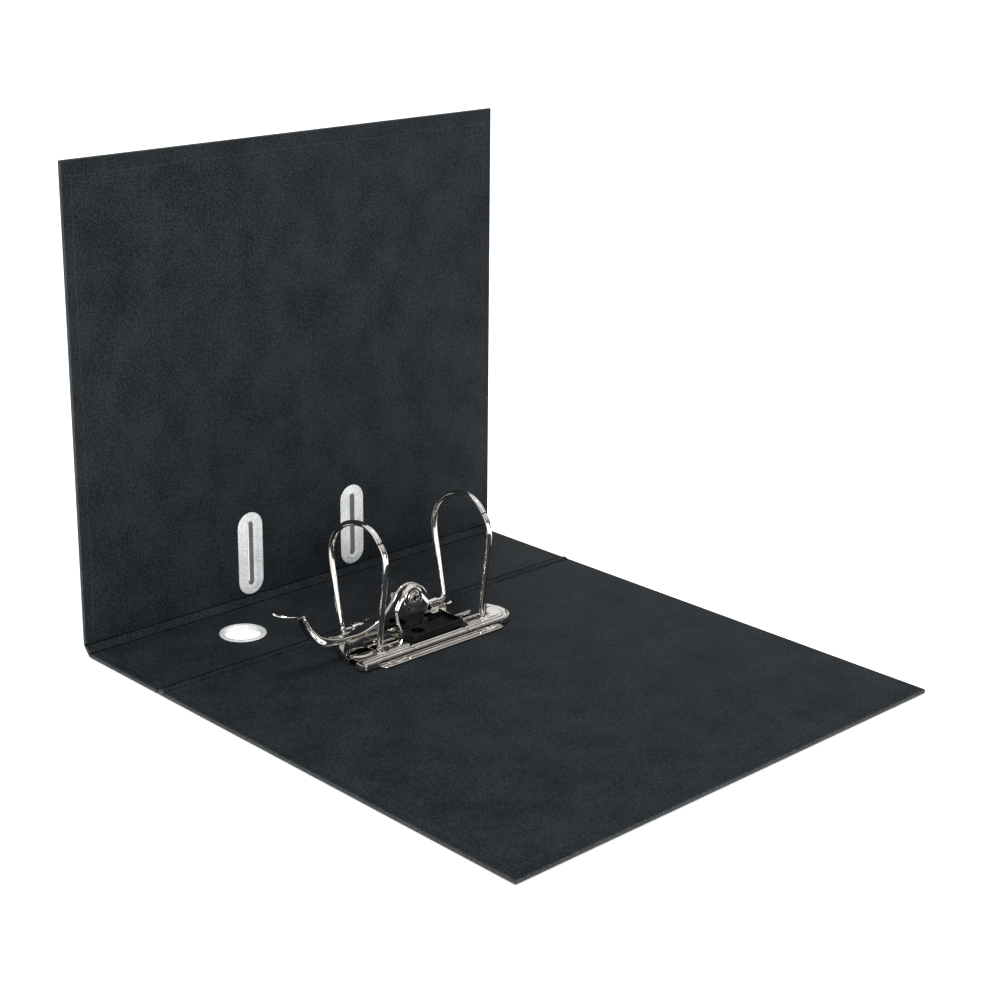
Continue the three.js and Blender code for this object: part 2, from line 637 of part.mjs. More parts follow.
function buildMechanism() {
  add(binder, 'base_plate', surface(basePlate()), NICKEL);
  add(binder, 'lever_bracket', surface(bracket()), NICKEL);
  add(binder, 'near_fixed_post', post(-ARCH_Y), NICKEL);
  add(binder, 'far_fixed_post', post(ARCH_Y), NICKEL);
  add(binder, 'arch_wire', archWire(), NICKEL);
  add(binder, 'lever', surface(lever()), NICKEL);
  add(binder, 'lever_pivot_rivet', surface(pivotRivet()), NICKEL);
  add(binder, 'cam_roller', surface(roller()), NICKEL);
  add(binder, 'roller_pin', surface(rollerPin()), NICKEL);
  add(binder, 'leaf_spring', surface(leafSpring()), SPRING_STEEL);
  add(binder, 'plastic_insert', surface(plasticInsert()), BLACK_PLASTIC);
  for (const [name, x, y] of RIVET_PLACES) add(binder, name, surface(fixingRivet(x, y)), NICKEL);
  for (const [name, x, y] of BRACKET_RIVETS) add(binder, name, surface(bracketRivet(x, y)), NICKEL);
}

buildBackCover();
buildCaseFromSpine();
buildMechanism();

export default binder;
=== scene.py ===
"""Looks of a two-ring lever arch binder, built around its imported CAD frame."""
import math

import bmesh
import bpy
import numpy as np
from mathutils import Matrix, Vector
from mathutils.geometry import delaunay_2d_cdt


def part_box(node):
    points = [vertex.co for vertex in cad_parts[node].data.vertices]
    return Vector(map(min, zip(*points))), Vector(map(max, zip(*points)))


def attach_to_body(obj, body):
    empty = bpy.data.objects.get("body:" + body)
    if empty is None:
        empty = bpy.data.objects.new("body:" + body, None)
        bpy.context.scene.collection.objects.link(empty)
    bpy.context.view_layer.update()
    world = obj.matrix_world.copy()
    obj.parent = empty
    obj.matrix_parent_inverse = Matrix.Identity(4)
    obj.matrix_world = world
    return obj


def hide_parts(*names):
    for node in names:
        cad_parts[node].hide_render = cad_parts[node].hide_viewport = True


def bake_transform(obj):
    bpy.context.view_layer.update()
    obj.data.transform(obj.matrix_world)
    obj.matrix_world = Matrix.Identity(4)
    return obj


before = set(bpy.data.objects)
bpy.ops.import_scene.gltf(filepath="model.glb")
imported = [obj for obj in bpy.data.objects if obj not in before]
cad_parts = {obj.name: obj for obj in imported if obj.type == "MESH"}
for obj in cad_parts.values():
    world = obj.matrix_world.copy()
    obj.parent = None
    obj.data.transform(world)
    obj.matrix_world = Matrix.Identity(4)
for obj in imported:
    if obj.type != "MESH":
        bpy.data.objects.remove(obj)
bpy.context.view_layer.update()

# ---- Sizes in millimetres, in the case's own axes: x from the middle of the back hinge strip,
# ---- y from the middle of the spine, z from the inner face of the panel that lies flat.
THICK = 2.6
STRIP = 6.0
SPINE = 67.4
COVER = 281.0
HALF = 159.0
GAP = 0.5
FOLD = math.radians(45)
EDGE_ROUND = 0.8
FORE_TURN_IN = 9.0
END_TURN_IN = 6.0
SPINE_EDGE = -STRIP / 2 - SPINE
UPRIGHT_X = SPINE_EDGE - STRIP * math.cos(FOLD)
UPRIGHT_Z = STRIP * math.sin(FOLD)
CENTRE_X = STRIP / 2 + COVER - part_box("back_cover_covering")[1].x * 1000

SLOT_U = 27.2
ARCH_Y = 40.0
FINGER = (-STRIP / 2 - SPINE / 2, -75.0)
PLATE_TOP = 4.4
SHEET = 0.8
WIRE = 1.65
SHAFT = (13.5, 6.7)
PIVOT = (-5.0, 25.6)
ROLLER_Z = 12.1
POST_X = 47.3
EAR_FACE = 36.2
TWO_PI = 2 * math.pi


def row(point):
    """A point of the case's axes in millimetres, as a point of the row frame in metres."""
    return Vector(((point[0] - CENTRE_X) / 1000, point[1] / 1000, (point[2] + THICK) / 1000))


# ---- Node materials ----
class Nodes:
    """A short way to write a node tree."""

    def __init__(self, name):
        self.material = bpy.data.materials.new(name)
        self.material.use_nodes = True
        self.tree = self.material.node_tree
        self.shader = self.tree.nodes["Principled BSDF"]

    def add(self, kind, inputs=None, **settings):
        node = self.tree.nodes.new(kind)
        for key, value in settings.items():
            setattr(node, key, value)
        for key, value in (inputs or {}).items():
            if isinstance(value, bpy.types.NodeSocket):
                self.tree.links.new(value, node.inputs[key])
            else:
                node.inputs[key].default_value = value
        return node

    def coords(self, scale=(1, 1, 1)):
        texture = self.add("ShaderNodeTexCoord")
        return self.add("ShaderNodeMapping", {"Vector": texture.outputs["Object"], "Scale": scale}).outputs[0]

    def noise(self, vector, scale, detail=3, rough=0.55):
        return self.add("ShaderNodeTexNoise", {"Vector": vector, "Scale": scale, "Detail": detail,
                                               "Roughness": rough}).outputs["Fac"]

    def cells(self, vector, scale):
        return self.add("ShaderNodeTexVoronoi", {"Vector": vector, "Scale": scale}).outputs["Distance"]

    def ramp(self, value, low, high, out_low=0.0, out_high=1.0):
        return self.add("ShaderNodeMapRange", {"Value": value, "From Min": low, "From Max": high,
                                               "To Min": out_low, "To Max": out_high}).outputs[0]

    def mix(self, factor, a, b):
        node = self.add("ShaderNodeMix", data_type="RGBA")
        for key, value in ((0, factor), (6, a), (7, b)):
            if isinstance(value, bpy.types.NodeSocket):
                self.tree.links.new(value, node.inputs[key])
            else:
                node.inputs[key].default_value = value if key == 0 else (*value, 1)
        return node.outputs[2]

    def bump(self, height, strength, distance, normal=None):
        inputs = {"Height": height, "Strength": strength, "Distance": distance}
        if normal is not None:
            inputs["Normal"] = normal
        return self.add("ShaderNodeBump", inputs).outputs[0]

    def math(self, operation, a, b):
        node = self.add("ShaderNodeMath", operation=operation)
        for key, value in ((0, a), (1, b)):
            if isinstance(value, bpy.types.NodeSocket):
                self.tree.links.new(value, node.inputs[key])
            else:
                node.inputs[key].default_value = value
        return node.outputs[0]

    def link(self, socket, value):
        if isinstance(value, bpy.types.NodeSocket):
            self.tree.links.new(value, self.shader.inputs[socket])
        else:
            self.shader.inputs[socket].default_value = value


def paper(name, dark, light, rough, specular, wear):
    """Embossed book paper: a fine pebbled grain, fibres, faint mottling and pale worn specks."""
    n = Nodes(name)
    at = n.coords()
    pebble = n.cells(at, 1050)
    grain = n.noise(at, 850, 3, 0.7)
    mottle = n.noise(at, 35, 4, 0.6)
    tone = n.math("ADD", n.math("MULTIPLY", grain, 0.75), n.math("MULTIPLY", mottle, 0.25))
    body = n.mix(n.ramp(tone, 0.40, 0.62), dark, light)
    specks = n.ramp(n.noise(at, 260, 5, 0.75), 0.80 - wear, 0.93 - wear)
    n.link("Base Color", n.mix(specks, body, tuple(min(1, c * 4.5) for c in light)))
    n.link("Roughness", n.ramp(grain, 0.3, 0.7, rough - 0.06, rough + 0.08))
    n.link("Specular IOR Level", specular)
    n.link("Sheen Weight", 0.02)
    n.link("Sheen Roughness", 0.5)
    coarse = n.bump(pebble, 0.35, 0.00022)
    n.link("Normal", n.bump(grain, 0.3, 0.00016, coarse))
    return n.material


def plastic(name, dark, light, rough, grain_scale, bump, shine):
    """Moulded plastic with a spark-eroded matt skin."""
    n = Nodes(name)
    at = n.coords()
    grain = n.noise(at, grain_scale, 3, 0.6)
    cloud = n.noise(at, 90, 3, 0.5)
    tone = n.math("ADD", n.math("MULTIPLY", grain, 0.7), n.math("MULTIPLY", cloud, 0.3))
    n.link("Base Color", n.mix(n.ramp(tone, 0.35, 0.65), dark, light))
    n.link("Roughness", n.ramp(cloud, 0.3, 0.7, rough - 0.05, rough + 0.08))
    n.link("Specular IOR Level", shine)
    n.link("Normal", n.bump(grain, bump, 0.00012))
    return n.material


def metal(name, dark, light, rough, scratch):
    """Bright plated steel: long faint polishing lines, a little orange peel and dull patches."""
    n = Nodes(name)
    at = n.coords()
    lines = n.noise(n.coords((900, 60, 900)), 1.0, 3, 0.6)
    peel = n.noise(at, 420, 2, 0.5)
    patch = n.noise(at, 75, 4, 0.65)
    n.link("Metallic", 1.0)
    n.link("Base Color", n.mix(n.ramp(patch, 0.35, 0.7), dark, light))
    n.link("Roughness", n.ramp(patch, 0.3, 0.75, rough * 0.7, rough * 1.7))
    first = n.bump(lines, scratch, 0.00003)
    n.link("Normal", n.bump(peel, scratch * 1.2, 0.00009, first))
    return n.material


COVERING = paper("covering_paper", (0.0044, 0.0062, 0.0080), (0.0265, 0.0320, 0.0365), 0.62, 0.06, 0.0)
LINING = paper("lining_paper", (0.0044, 0.0062, 0.0080), (0.0265, 0.0320, 0.0365), 0.62, 0.06, 0.0)
# Lighter paper for the rounded edges and end faces: a painted highlight where those edges catch the front light.
# Its pale specks are wear.
EDGE_HIGHLIGHT_PAPER = paper("paper_edge_highlight", (0.014, 0.017, 0.019), (0.062, 0.067, 0.070), 0.6, 0.2, 0.05)
WORN_PAPER = paper("worn_paper", (0.02, 0.023, 0.025), (0.11, 0.118, 0.12), 0.8, 0.2, 0.10)
CUT_PAPER = paper("cut_paper", (0.016, 0.020, 0.023), (0.050, 0.056, 0.060), 0.8, 0.1, 0.05)
GREY_PLASTIC = plastic("grey_plastic", (0.50, 0.51, 0.515), (0.90, 0.91, 0.915), 0.5, 1000, 0.25, 0.4)
# Darker grey plastic for the eyelets' bore: painted shade inside the narrow slot.
SLOT_WALL_SHADE = plastic("slot_wall_shade", (0.10, 0.102, 0.104), (0.24, 0.243, 0.246), 0.7, 1000, 0.2, 0.1)
BLACK_PLASTIC = plastic("black_plastic", (0.0015, 0.0018, 0.0024), (0.006, 0.0065, 0.008),
                        0.38, 1300, 0.2, 0.12)
NICKEL = metal("nickel_plate", (0.66, 0.63, 0.60), (0.84, 0.81, 0.775), 0.045, 0.006)
NICKEL_WIRE = metal("nickel_wire", (0.68, 0.65, 0.61), (0.86, 0.835, 0.80), 0.04, 0.004)
SPRING_STEEL = metal("spring_steel", (0.22, 0.21, 0.20), (0.42, 0.40, 0.38), 0.25, 0.2)


# ---- Mesh helpers ----
def piece(name, verts, faces, materials, body=None, slot=None, replaces=(), smooth=35, indices=None):
    """A named piece from points in millimetres. Edges sharper than smooth degrees stay crisp."""
    mesh = bpy.data.meshes.new(name)
    mesh.from_pydata([row(v) for v in verts], [], faces)
    mesh.validate()
    for material in materials if isinstance(materials, (list, tuple)) else [materials]:
        mesh.materials.append(material)
    if indices is not None:
        mesh.polygons.foreach_set("material_index", indices)
    obj = bpy.data.objects.new(name, mesh)
    bpy.context.scene.collection.objects.link(obj)
    tidy(obj, smooth)
    if body:
        attach(obj, body, replaces)
    return obj


def attach(obj, body, replaces=()):
    if replaces:
        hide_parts(*replaces)
    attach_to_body(obj, body)


def tidy(obj, smooth=35):
    """Merges doubled points, points the faces outward and sets which edges are crisp."""
    bm = bmesh.new()
    bm.from_mesh(obj.data)
    bmesh.ops.remove_doubles(bm, verts=bm.verts, dist=1e-6)
    bmesh.ops.recalc_face_normals(bm, faces=bm.faces)
    bm.to_mesh(obj.data)
    bm.free()
    shade(obj.data, smooth)


def shade(mesh, smooth):
    mesh.polygons.foreach_set("use_smooth", [True] * len(mesh.polygons))
    mesh.set_sharp_from_angle(angle=math.radians(smooth))


def bake_modifiers(obj, smooth=35):
    """Makes the modifiers' result the piece's own mesh."""
    graph = bpy.context.evaluated_depsgraph_get()
    graph.update()
    made = bpy.data.meshes.new_from_object(obj.evaluated_get(graph))
    obj.modifiers.clear()
    obj.data = made
    shade(obj.data, smooth)


def bevelled(obj, width, segments=2, angle=50, smooth=35):
    modifier = obj.modifiers.new("edge", "BEVEL")
    modifier.width = width / 1000
    modifier.segments = segments
    modifier.limit_method = "ANGLE"
    modifier.angle_limit = math.radians(angle)
    modifier.harden_normals = False
    bake_modifiers(obj, smooth)
    return obj


def carve(obj, cutters, smooth=35):
    """Cuts the cutters out of obj and removes them."""
    for cutter in cutters:
        modifier = obj.modifiers.new("cut", "BOOLEAN")
        modifier.operation = "DIFFERENCE"
        modifier.solver = "EXACT"
        modifier.object = cutter
    bake_modifiers(obj, smooth)
    for cutter in cutters:
        bpy.data.objects.remove(cutter)
    return obj


def join(name, objects):
    """One object from several, with their materials kept."""
    materials = []
    verts, faces, indices = [], [], []
    for obj in objects:
        base = len(verts)
        verts += [v.co[:] for v in obj.data.vertices]
        for m in obj.data.materials:
            if m not in materials:
                materials.append(m)
        for p in obj.data.polygons:
            faces.append([base + i for i in p.vertices])
            indices.append(materials.index(obj.data.materials[p.material_index]))
        bpy.data.objects.remove(obj)
    mesh = bpy.data.meshes.new(name)
    mesh.from_pydata(verts, [], faces)
    for m in materials:
        mesh.materials.append(m)
    mesh.polygons.foreach_set("material_index", indices)
    made = bpy.data.objects.new(name, mesh)
    bpy.context.scene.collection.objects.link(made)
    shade(mesh, 35)
    return made


def loft(rings, closed=False):
    """Verts and faces through rings of equal length, capped at both ends unless closed."""
    count = len(rings[0])
    verts = [p for ring in rings for p in ring]
    faces = []
    steps = len(rings) if closed else len(rings) - 1
    for i in range(steps):
        a, b = i * count, ((i + 1) % len(rings)) * count
        faces += [(a + j, a + (j + 1) % count, b + (j + 1) % count, b + j) for j in range(count)]
    if not closed:
        faces.append(tuple(range(count))[::-1])
        faces.append(tuple(range((len(rings) - 1) * count, len(rings) * count)))
    return verts, faces


def lathe(profile, centre, axis="z", sides=40, closed=False):
    """Turns a profile of (radius, height) pairs round an axis through centre."""
    rings = []
    for radius, height in profile:
        ring = []
        for i in range(sides):
            a = TWO_PI * i / sides
            u, v = max(radius, 1e-4) * math.cos(a), max(radius, 1e-4) * math.sin(a)
            if axis == "z":
                ring.append((centre[0] + u, centre[1] + v, height))
            else:
                ring.append((height, centre[0] + u, centre[1] + v))
        rings.append(ring)
    return loft(rings, closed)


def catmull(points, per_span=8):
    """A smooth centripetal curve through points, as a dense list."""
    pts = [Vector(p) for p in points]
    pts = [2 * pts[0] - pts[1], *pts, 2 * pts[-1] - pts[-2]]
    out = []
    for a, b, c, d in zip(pts, pts[1:], pts[2:], pts[3:]):
        t0 = 0.0
        t1 = t0 + math.sqrt((b - a).length)
        t2 = t1 + math.sqrt((c - b).length)
        t3 = t2 + math.sqrt((d - c).length)
        for i in range(per_span):
            t = t1 + (t2 - t1) * i / per_span
            a1 = a * ((t1 - t) / (t1 - t0)) + b * ((t - t0) / (t1 - t0))
            a2 = b * ((t2 - t) / (t2 - t1)) + c * ((t - t1) / (t2 - t1))
            a3 = c * ((t3 - t) / (t3 - t2)) + d * ((t - t2) / (t3 - t2))
            b1 = a1 * ((t2 - t) / (t2 - t0)) + a2 * ((t - t0) / (t2 - t0))
            b2 = a2 * ((t3 - t) / (t3 - t1)) + a3 * ((t - t1) / (t3 - t1))
            out.append(b1 * ((t2 - t) / (t2 - t1)) + b2 * ((t - t1) / (t2 - t1)))
    out.append(pts[-2])
    return out


def tube(path, radius, sides=24, round_ends=0.35):
    """A round wire along a dense path, with slightly rounded ends."""
    path = [Vector(p) for p in path]
    radii = [radius] * len(path)
    last = len(path) - 1
    tangents = [(path[min(i + 1, last)] - path[max(i - 1, 0)]).normalized() for i in range(last + 1)]
    head = [(path[0], radius - round_ends), (path[0] + tangents[0] * round_ends, radius)]
    tail = [(path[-1] - tangents[-1] * round_ends, radius), (path[-1], radius - round_ends)]
    path = [head[0][0], head[1][0], *path[1:-1], tail[0][0], tail[1][0]]
    radii = [head[0][1], *radii[: len(path) - 2], tail[1][1]]
    tangents = [tangents[0], *tangents[: len(path) - 2], tangents[-1]]
    side = tangents[0].orthogonal().normalized()
    rings = []
    for p, r, t in zip(path, radii, tangents):
        side = (side - side.dot(t) * t).normalized()
        other = t.cross(side)
        angles = [TWO_PI * i / sides for i in range(sides)]
        rings.append([tuple(p + r * (math.cos(a) * side + math.sin(a) * other)) for a in angles])
    return loft(rings)


def arc(cx, cy, radius_x, radius_y, start, end, steps):
    angles = [math.radians(start + (end - start) * i / steps) for i in range(steps + 1)]
    return [(cx + radius_x * math.cos(a), cy + radius_y * math.sin(a)) for a in angles]


def quad(a, b, c, steps=8):
    """Points of a quadratic curve from a to c that bends towards b, without its first point."""
    out = []
    for i in range(1, steps + 1):
        t = i / steps
        out.append(tuple((1 - t) ** 2 * a[k] + 2 * t * (1 - t) * b[k] + t * t * c[k] for k in (0, 1)))
    return out


def resample(outline, spacing):
    """Points along a closed outline at about this spacing, its corners kept."""
    out = []
    for a, b in zip(outline, outline[1:] + outline[:1]):
        length = math.dist(a, b)
        count = max(1, round(length / spacing))
        out += [(a[0] + (b[0] - a[0]) * i / count, a[1] + (b[1] - a[1]) * i / count) for i in range(count)]
    return out


def inside(points, outline):
    """Which of the points lie inside a closed outline."""
    x, y = points[:, 0], points[:, 1]
    hit = np.zeros(len(points), bool)
    for (ax, ay), (bx, by) in zip(outline, outline[1:] + outline[:1]):
        if ay == by:
            continue
        crosses = (ay > y) != (by > y)
        hit ^= crosses & (x < (bx - ax) * (y - ay) / (by - ay) + ax)
    return hit


def depth_in(points, outline):
    """Distance from each point to a closed outline, negative outside it."""
    best = np.full(len(points), 1e9)
    for a, b in zip(outline, outline[1:] + outline[:1]):
        a, b = np.array(a), np.array(b)
        along = b - a
        t = np.clip(((points - a) @ along) / max(along @ along, 1e-12), 0, 1)
        best = np.minimum(best, np.linalg.norm(points - a - t[:, None] * along, axis=1))
    return np.where(inside(points, outline), best, -best)


def pressing(outline, holes, height, spacing, place, rings=(), walls=()):
    """A sheet filling an outline, raised by height(points) and put in space by place(a, b, h).

    The grid keeps clear of walls, each an outline with its width, that rings of points describe better."""
    loops = [resample(outline, spacing), *[resample(h, spacing * 0.6) for h in holes]]
    verts, edges = [], []
    for loop in loops:
        base = len(verts)
        verts += loop
        edges += [(base + i, base + (i + 1) % len(loop)) for i in range(len(loop))]
    array = np.array(loops[0])
    low, high = array.min(0), array.max(0)
    columns, rows = (np.arange(low[k], high[k], spacing) for k in (0, 1))
    grid = np.array([(x, y) for x in columns for y in rows])
    keep = depth_in(grid, loops[0]) > spacing * 0.45
    for hole in loops[1:]:
        keep &= depth_in(grid, hole) < -spacing * 0.35
    for line, width in walls:
        beside = depth_in(grid, line)
        keep &= (beside > width) | (beside < -0.3)
    extra = [p for ring in rings for p in ring]
    verts += [tuple(p) for p in grid[keep]] + extra
    points, _, triangles, _, _, _ = delaunay_2d_cdt([Vector(v) for v in verts], edges, [], 0, 1e-5)
    points = np.array([p[:] for p in points])
    centres = np.array([points[list(t)].mean(0) for t in triangles])
    wanted = inside(centres, loops[0])
    for hole in loops[1:]:
        wanted &= ~inside(centres, hole)
    heights = height(points)
    faces = [tuple(t) for t, w in zip(triangles, wanted) if w]
    return [place(p[0], p[1], h) for p, h in zip(points, heights)], faces


def drop_loose(obj):
    bm = bmesh.new()
    bm.from_mesh(obj.data)
    bmesh.ops.delete(bm, geom=[v for v in bm.verts if not v.link_faces], context="VERTS")
    bm.to_mesh(obj.data)
    bm.free()


def thicken(obj, thickness, bevel=0.15, smooth=35, toward=None, even=True):
    """Gives a sheet its thickness behind the side that faces toward, with softened rims."""
    drop_loose(obj)
    if toward is not None:
        bm = bmesh.new()
        bm.from_mesh(obj.data)
        bmesh.ops.recalc_face_normals(bm, faces=bm.faces)
        total = sum((f.normal * f.calc_area() for f in bm.faces), Vector())
        if total.dot(Vector(toward)) < 0:
            bmesh.ops.reverse_faces(bm, faces=bm.faces)
        bm.to_mesh(obj.data)
        bm.free()
    modifier = obj.modifiers.new("sheet", "SOLIDIFY")
    modifier.thickness = thickness / 1000
    modifier.offset = -1
    modifier.use_even_offset = even
    if bevel:
        edge = obj.modifiers.new("edge", "BEVEL")
        edge.width = bevel / 1000
        edge.segments = 2
        edge.limit_method = "ANGLE"
        edge.angle_limit = math.radians(60)
        edge.harden_normals = False
    bake_modifiers(obj, smooth)
    return obj


def box_piece(name, low, high, material, place=lambda *p: p):
    floor = ((low[0], low[1]), (high[0], low[1]), (high[0], high[1]), (low[0], high[1]))
    corners = [place(x, y, z) for z in (low[2], high[2]) for x, y in floor]
    faces = [(0, 3, 2, 1), (4, 5, 6, 7), (0, 1, 5, 4), (1, 2, 6, 5), (2, 3, 7, 6), (3, 0, 4, 7)]
    return piece(name, corners, faces, material)


def prism_piece(name, outline, low, high, material, place=lambda a, b, h: (a, b, h)):
    rings = [[place(a, b, low) for a, b in outline], [place(a, b, high) for a, b in outline]]
    return piece(name, *loft(rings), material)


# ---- The board case: u runs away from a panel's crease, w is 0 on its inner face ----
def on_back_cover(u, y, w):
    return STRIP / 2 + u, y, w


def on_back_hinge(u, y, w):
    return STRIP / 2 - u, y, w


def on_spine(u, y, w):
    return -STRIP / 2 - u, y, w


def on_front_hinge(u, y, w):
    c, s = math.cos(FOLD), math.sin(FOLD)
    return SPINE_EDGE - u * c + w * s, y, u * s + w * c


def on_front_cover(u, y, w):
    return UPRIGHT_X + w, y, UPRIGHT_Z + u


def rounded_slab(name, width, place, free_edge):
    """A board panel wrapped in paper, rounded along its outer edges."""
    end = width if free_edge else width - GAP
    bm = bmesh.new()
    corners = [bm.verts.new((u, y, w)) for u in (GAP, end) for y in (-HALF, HALF) for w in (-THICK, 0)]
    for a, b, c, d in ((0, 1, 3, 2), (4, 6, 7, 5), (0, 4, 5, 1), (2, 3, 7, 6), (0, 2, 6, 4), (1, 5, 7, 3)):
        bm.faces.new([corners[i] for i in (a, b, c, d)])

    def outer(edge):
        a, b = (v.co for v in edge.verts)
        on_fore = free_edge and a.x == end and b.x == end
        on_end = abs(a.y) == HALF and a.y == b.y
        at_crease = a.x == b.x and a.y == b.y and not (free_edge and a.x == end)
        crease_rim = not free_edge and a.x == b.x and a.y != b.y
        return (on_fore or on_end) and not at_crease and not crease_rim

    bmesh.ops.bevel(bm, geom=[e for e in bm.edges if outer(e)], offset=EDGE_ROUND, segments=4, profile=0.5,
                    affect="EDGES", clamp_overlap=True)
    bmesh.ops.recalc_face_normals(bm, faces=bm.faces)
    bm.verts.index_update()
    verts = [place(*v.co) for v in bm.verts]
    faces, indices = [], []
    for f in bm.faces:
        faces.append([v.index for v in f.verts])
        middle = f.calc_center_median()
        flat = abs(f.normal.z) > 0.95
        crease = abs(f.normal.x) > 0.95 and not (free_edge and middle.x > end - 1)
        # Faces that are neither flat nor at a crease get the lighter edge paper, a painted highlight on the
        # rounded rims.
        indices.append(0 if flat or crease else 1)
    bm.free()
    return piece(name, verts, faces, [COVERING, EDGE_HIGHLIGHT_PAPER], indices=indices, smooth=50)


def liner(name, width, place, free_edge):
    """The pasted lining sheet, whose cut edge shows as a fine line inside the turned-in covering."""
    low, high = GAP, (width - FORE_TURN_IN if free_edge else width - GAP)
    side = HALF - END_TURN_IN
    step, lift, under = 0.25, 0.14, -0.25
    levels = [(0, under), (0, lift - 0.05), (step, lift)]
    rings = []
    for inset, w in levels:
        right = high - (inset if free_edge else 0)
        rings.append([place(u, y, w) for u, y in ((low, -side + inset), (right, -side + inset),
                                                  (right, side - inset), (low, side - inset))])
    verts, faces = loft(rings)
    indices = [1] * (len(faces) - 2) + [0, 0]
    return piece(name, verts, faces, [LINING, CUT_PAPER], indices=indices, smooth=20)


def mitre_cutters(width, place):
    """Thin wedges that open the folded corners of the turned-in covering."""
    made = []
    for sign in (-1, 1):
        corner = (width - 0.9, sign * (HALF - 0.9))
        inner = (width - FORE_TURN_IN - 0.6, sign * (HALF - END_TURN_IN + 0.6))
        along = Vector((inner[0] - corner[0], inner[1] - corner[1])).normalized()
        across = Vector((-along.y, along.x))
        ring = []
        for w in (-0.4, 0.6):
            half = 0.05 if w < 0 else 0.32
            ring.append([place(p.x, p.y, w) for p in (
                Vector(corner) - across * half * 0.4, Vector(inner) - across * half,
                Vector(inner) + across * half, Vector(corner) + across * half * 0.4)])
        made.append(piece(f"mitre_{sign}", *loft(ring), EDGE_HIGHLIGHT_PAPER))
    return made


def capsule(cx, cy, reach, radius, steps=14):
    """A slot outline with its length along the first axis."""
    right = arc(cx + reach, cy, radius, radius, -90, 90, steps)
    return right + arc(cx - reach, cy, radius, radius, 90, 270, steps)


def build_case():
    back = rounded_slab("back_cover_wrap", COVER, on_back_cover, True)
    carve(back, mitre_cutters(COVER, on_back_cover), 50)
    attach(back, "back_cover", ["back_cover_covering", "back_cover_board"])
    attach(liner("back_cover_liner", COVER, on_back_cover, True), "back_cover",
           ["back_cover_lining"])

    front = rounded_slab("front_cover_wrap", COVER, on_front_cover, True)
    carve(front, mitre_cutters(COVER, on_front_cover) + slot_cutters(on_front_cover), 50)
    attach(front, "front_cover", ["front_cover_covering", "front_cover_board"])
    sheet = liner("front_cover_liner", COVER, on_front_cover, True)
    carve(sheet, slot_cutters(on_front_cover), 20)
    attach(sheet, "front_cover", ["front_cover_lining"])

    spine = rounded_slab("spine_wrap", SPINE, on_spine, False)
    carve(spine, ring_cutters(), 50)
    attach(spine, "spine", ["spine_covering", "spine_board"])
    sheet = liner("spine_liner", SPINE, on_spine, False)
    carve(sheet, ring_cutters(), 20)
    attach(sheet, "spine", ["spine_lining"])

    strip = rounded_slab("front_hinge_wrap", STRIP, on_front_hinge, False)
    attach(strip, "front_hinge",
           ["front_hinge_covering", "front_hinge_board", "front_hinge_lining"])
    build_ridge()
    build_creases()


def slot_cutters(place):
    return [prism_piece(f"slot_cut_{i}", capsule(SLOT_U, y, 18.5, 4.6), -6, 4, COVERING, place)
            for i, y in enumerate((-ARCH_Y, ARCH_Y))]


def ring_cutters():
    verts, faces = lathe([(13.1, -6), (13.1, 4)], FINGER)
    return [piece("ring_cut", verts, faces, COVERING)]


def build_ridge():
    """The back hinge strip: a rounded ridge between two creases, worn pale at its near end."""
    steps = 14
    stations = [-HALF, -HALF + 0.5, -HALF + 1.4, -HALF + 4, -150, -120, -60, 0, 60, 120, 150, HALF - 1.4,
                HALF - 0.5, HALF]
    rings = []
    half = STRIP / 2 - GAP
    for y in stations:
        fall = min(1.0, (HALF - abs(y)) / 1.4)
        crown = (0.75 + 0.25 * (y + HALF) / (2 * HALF)) * 0.95
        shrink = 0.7 * (1 - math.sin(fall * math.pi / 2))
        top = [(half - 2 * half * i / steps, crown * math.sin(math.pi * i / steps) ** 0.8 - shrink)
               for i in range(steps + 1)]
        bottom = [(-half, -THICK + shrink), (0, -THICK + shrink * 0.6), (half, -THICK + shrink)]
        rings.append([(x, y, z) for x, z in top + bottom])
    verts, faces = loft(rings)
    count = len(rings[0])
    indices = []
    for i in range(len(stations) - 1):
        near = stations[i] < -HALF + 1
        indices += [1 if near and j < steps else 0 for j in range(count)]
    indices += [1, 0]
    piece("back_hinge_ridge", verts, faces, [COVERING, WORN_PAPER], "back_hinge", "covering_paper",
          ["back_hinge_covering", "back_hinge_board", "back_hinge_lining"], 60, indices)


def crease_section(dip, steps=10):
    """The paper across a crease as (across, height) pairs, groove inside and lap outside."""
    reach = GAP + 0.35
    inner = []
    for i in range(steps + 1):
        a = reach - 2 * reach * i / steps
        groove = max(0.0, 1 - (a / GAP) ** 2)
        inner.append((a, -0.06 - dip * groove))
    outer = [(-a, -THICK + 0.06) for a, _ in inner]
    return inner + outer


def build_crease(name, axis, folded):
    """A web of paper over one crease, bent by the fold that the binder rests with."""
    (ax, az), start_angle = axis
    section = crease_section(1.5)
    rings = []
    for y in (-HALF + 0.25, -HALF + 0.9, HALF - 0.9, HALF - 0.25):
        pinch = 0.35 if abs(y) > HALF - 0.5 else 0.0
        ring = []
        for a, h in section:
            t = min(1.0, max(0.0, (GAP - a) / (2 * GAP)))
            bend = start_angle + folded * t * t * (3 - 2 * t)
            h = h - pinch if h > -THICK / 2 else h + pinch
            c, s = math.cos(bend), math.sin(bend)
            ring.append((ax + a * c + h * s, y, az - a * s + h * c))
        rings.append(ring)
    obj = piece(name, *loft(rings), COVERING, smooth=60)
    for a, bend in ((GAP, start_angle), (-GAP, start_angle + folded)):
        h = -THICK if folded else 0.0
        c, s = math.cos(bend), math.sin(bend)
    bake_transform(obj)


def build_creases():
    build_crease("back_crease_inner_web", ((STRIP / 2, 0), 0.0), 0.0)
    build_crease("back_crease_outer_web", ((-STRIP / 2, 0), 0.0), 0.0)
    build_crease("front_crease_inner_web", ((SPINE_EDGE, 0), 0.0), FOLD)
    build_crease("front_crease_outer_web", ((UPRIGHT_X, UPRIGHT_Z), FOLD),
                 FOLD)


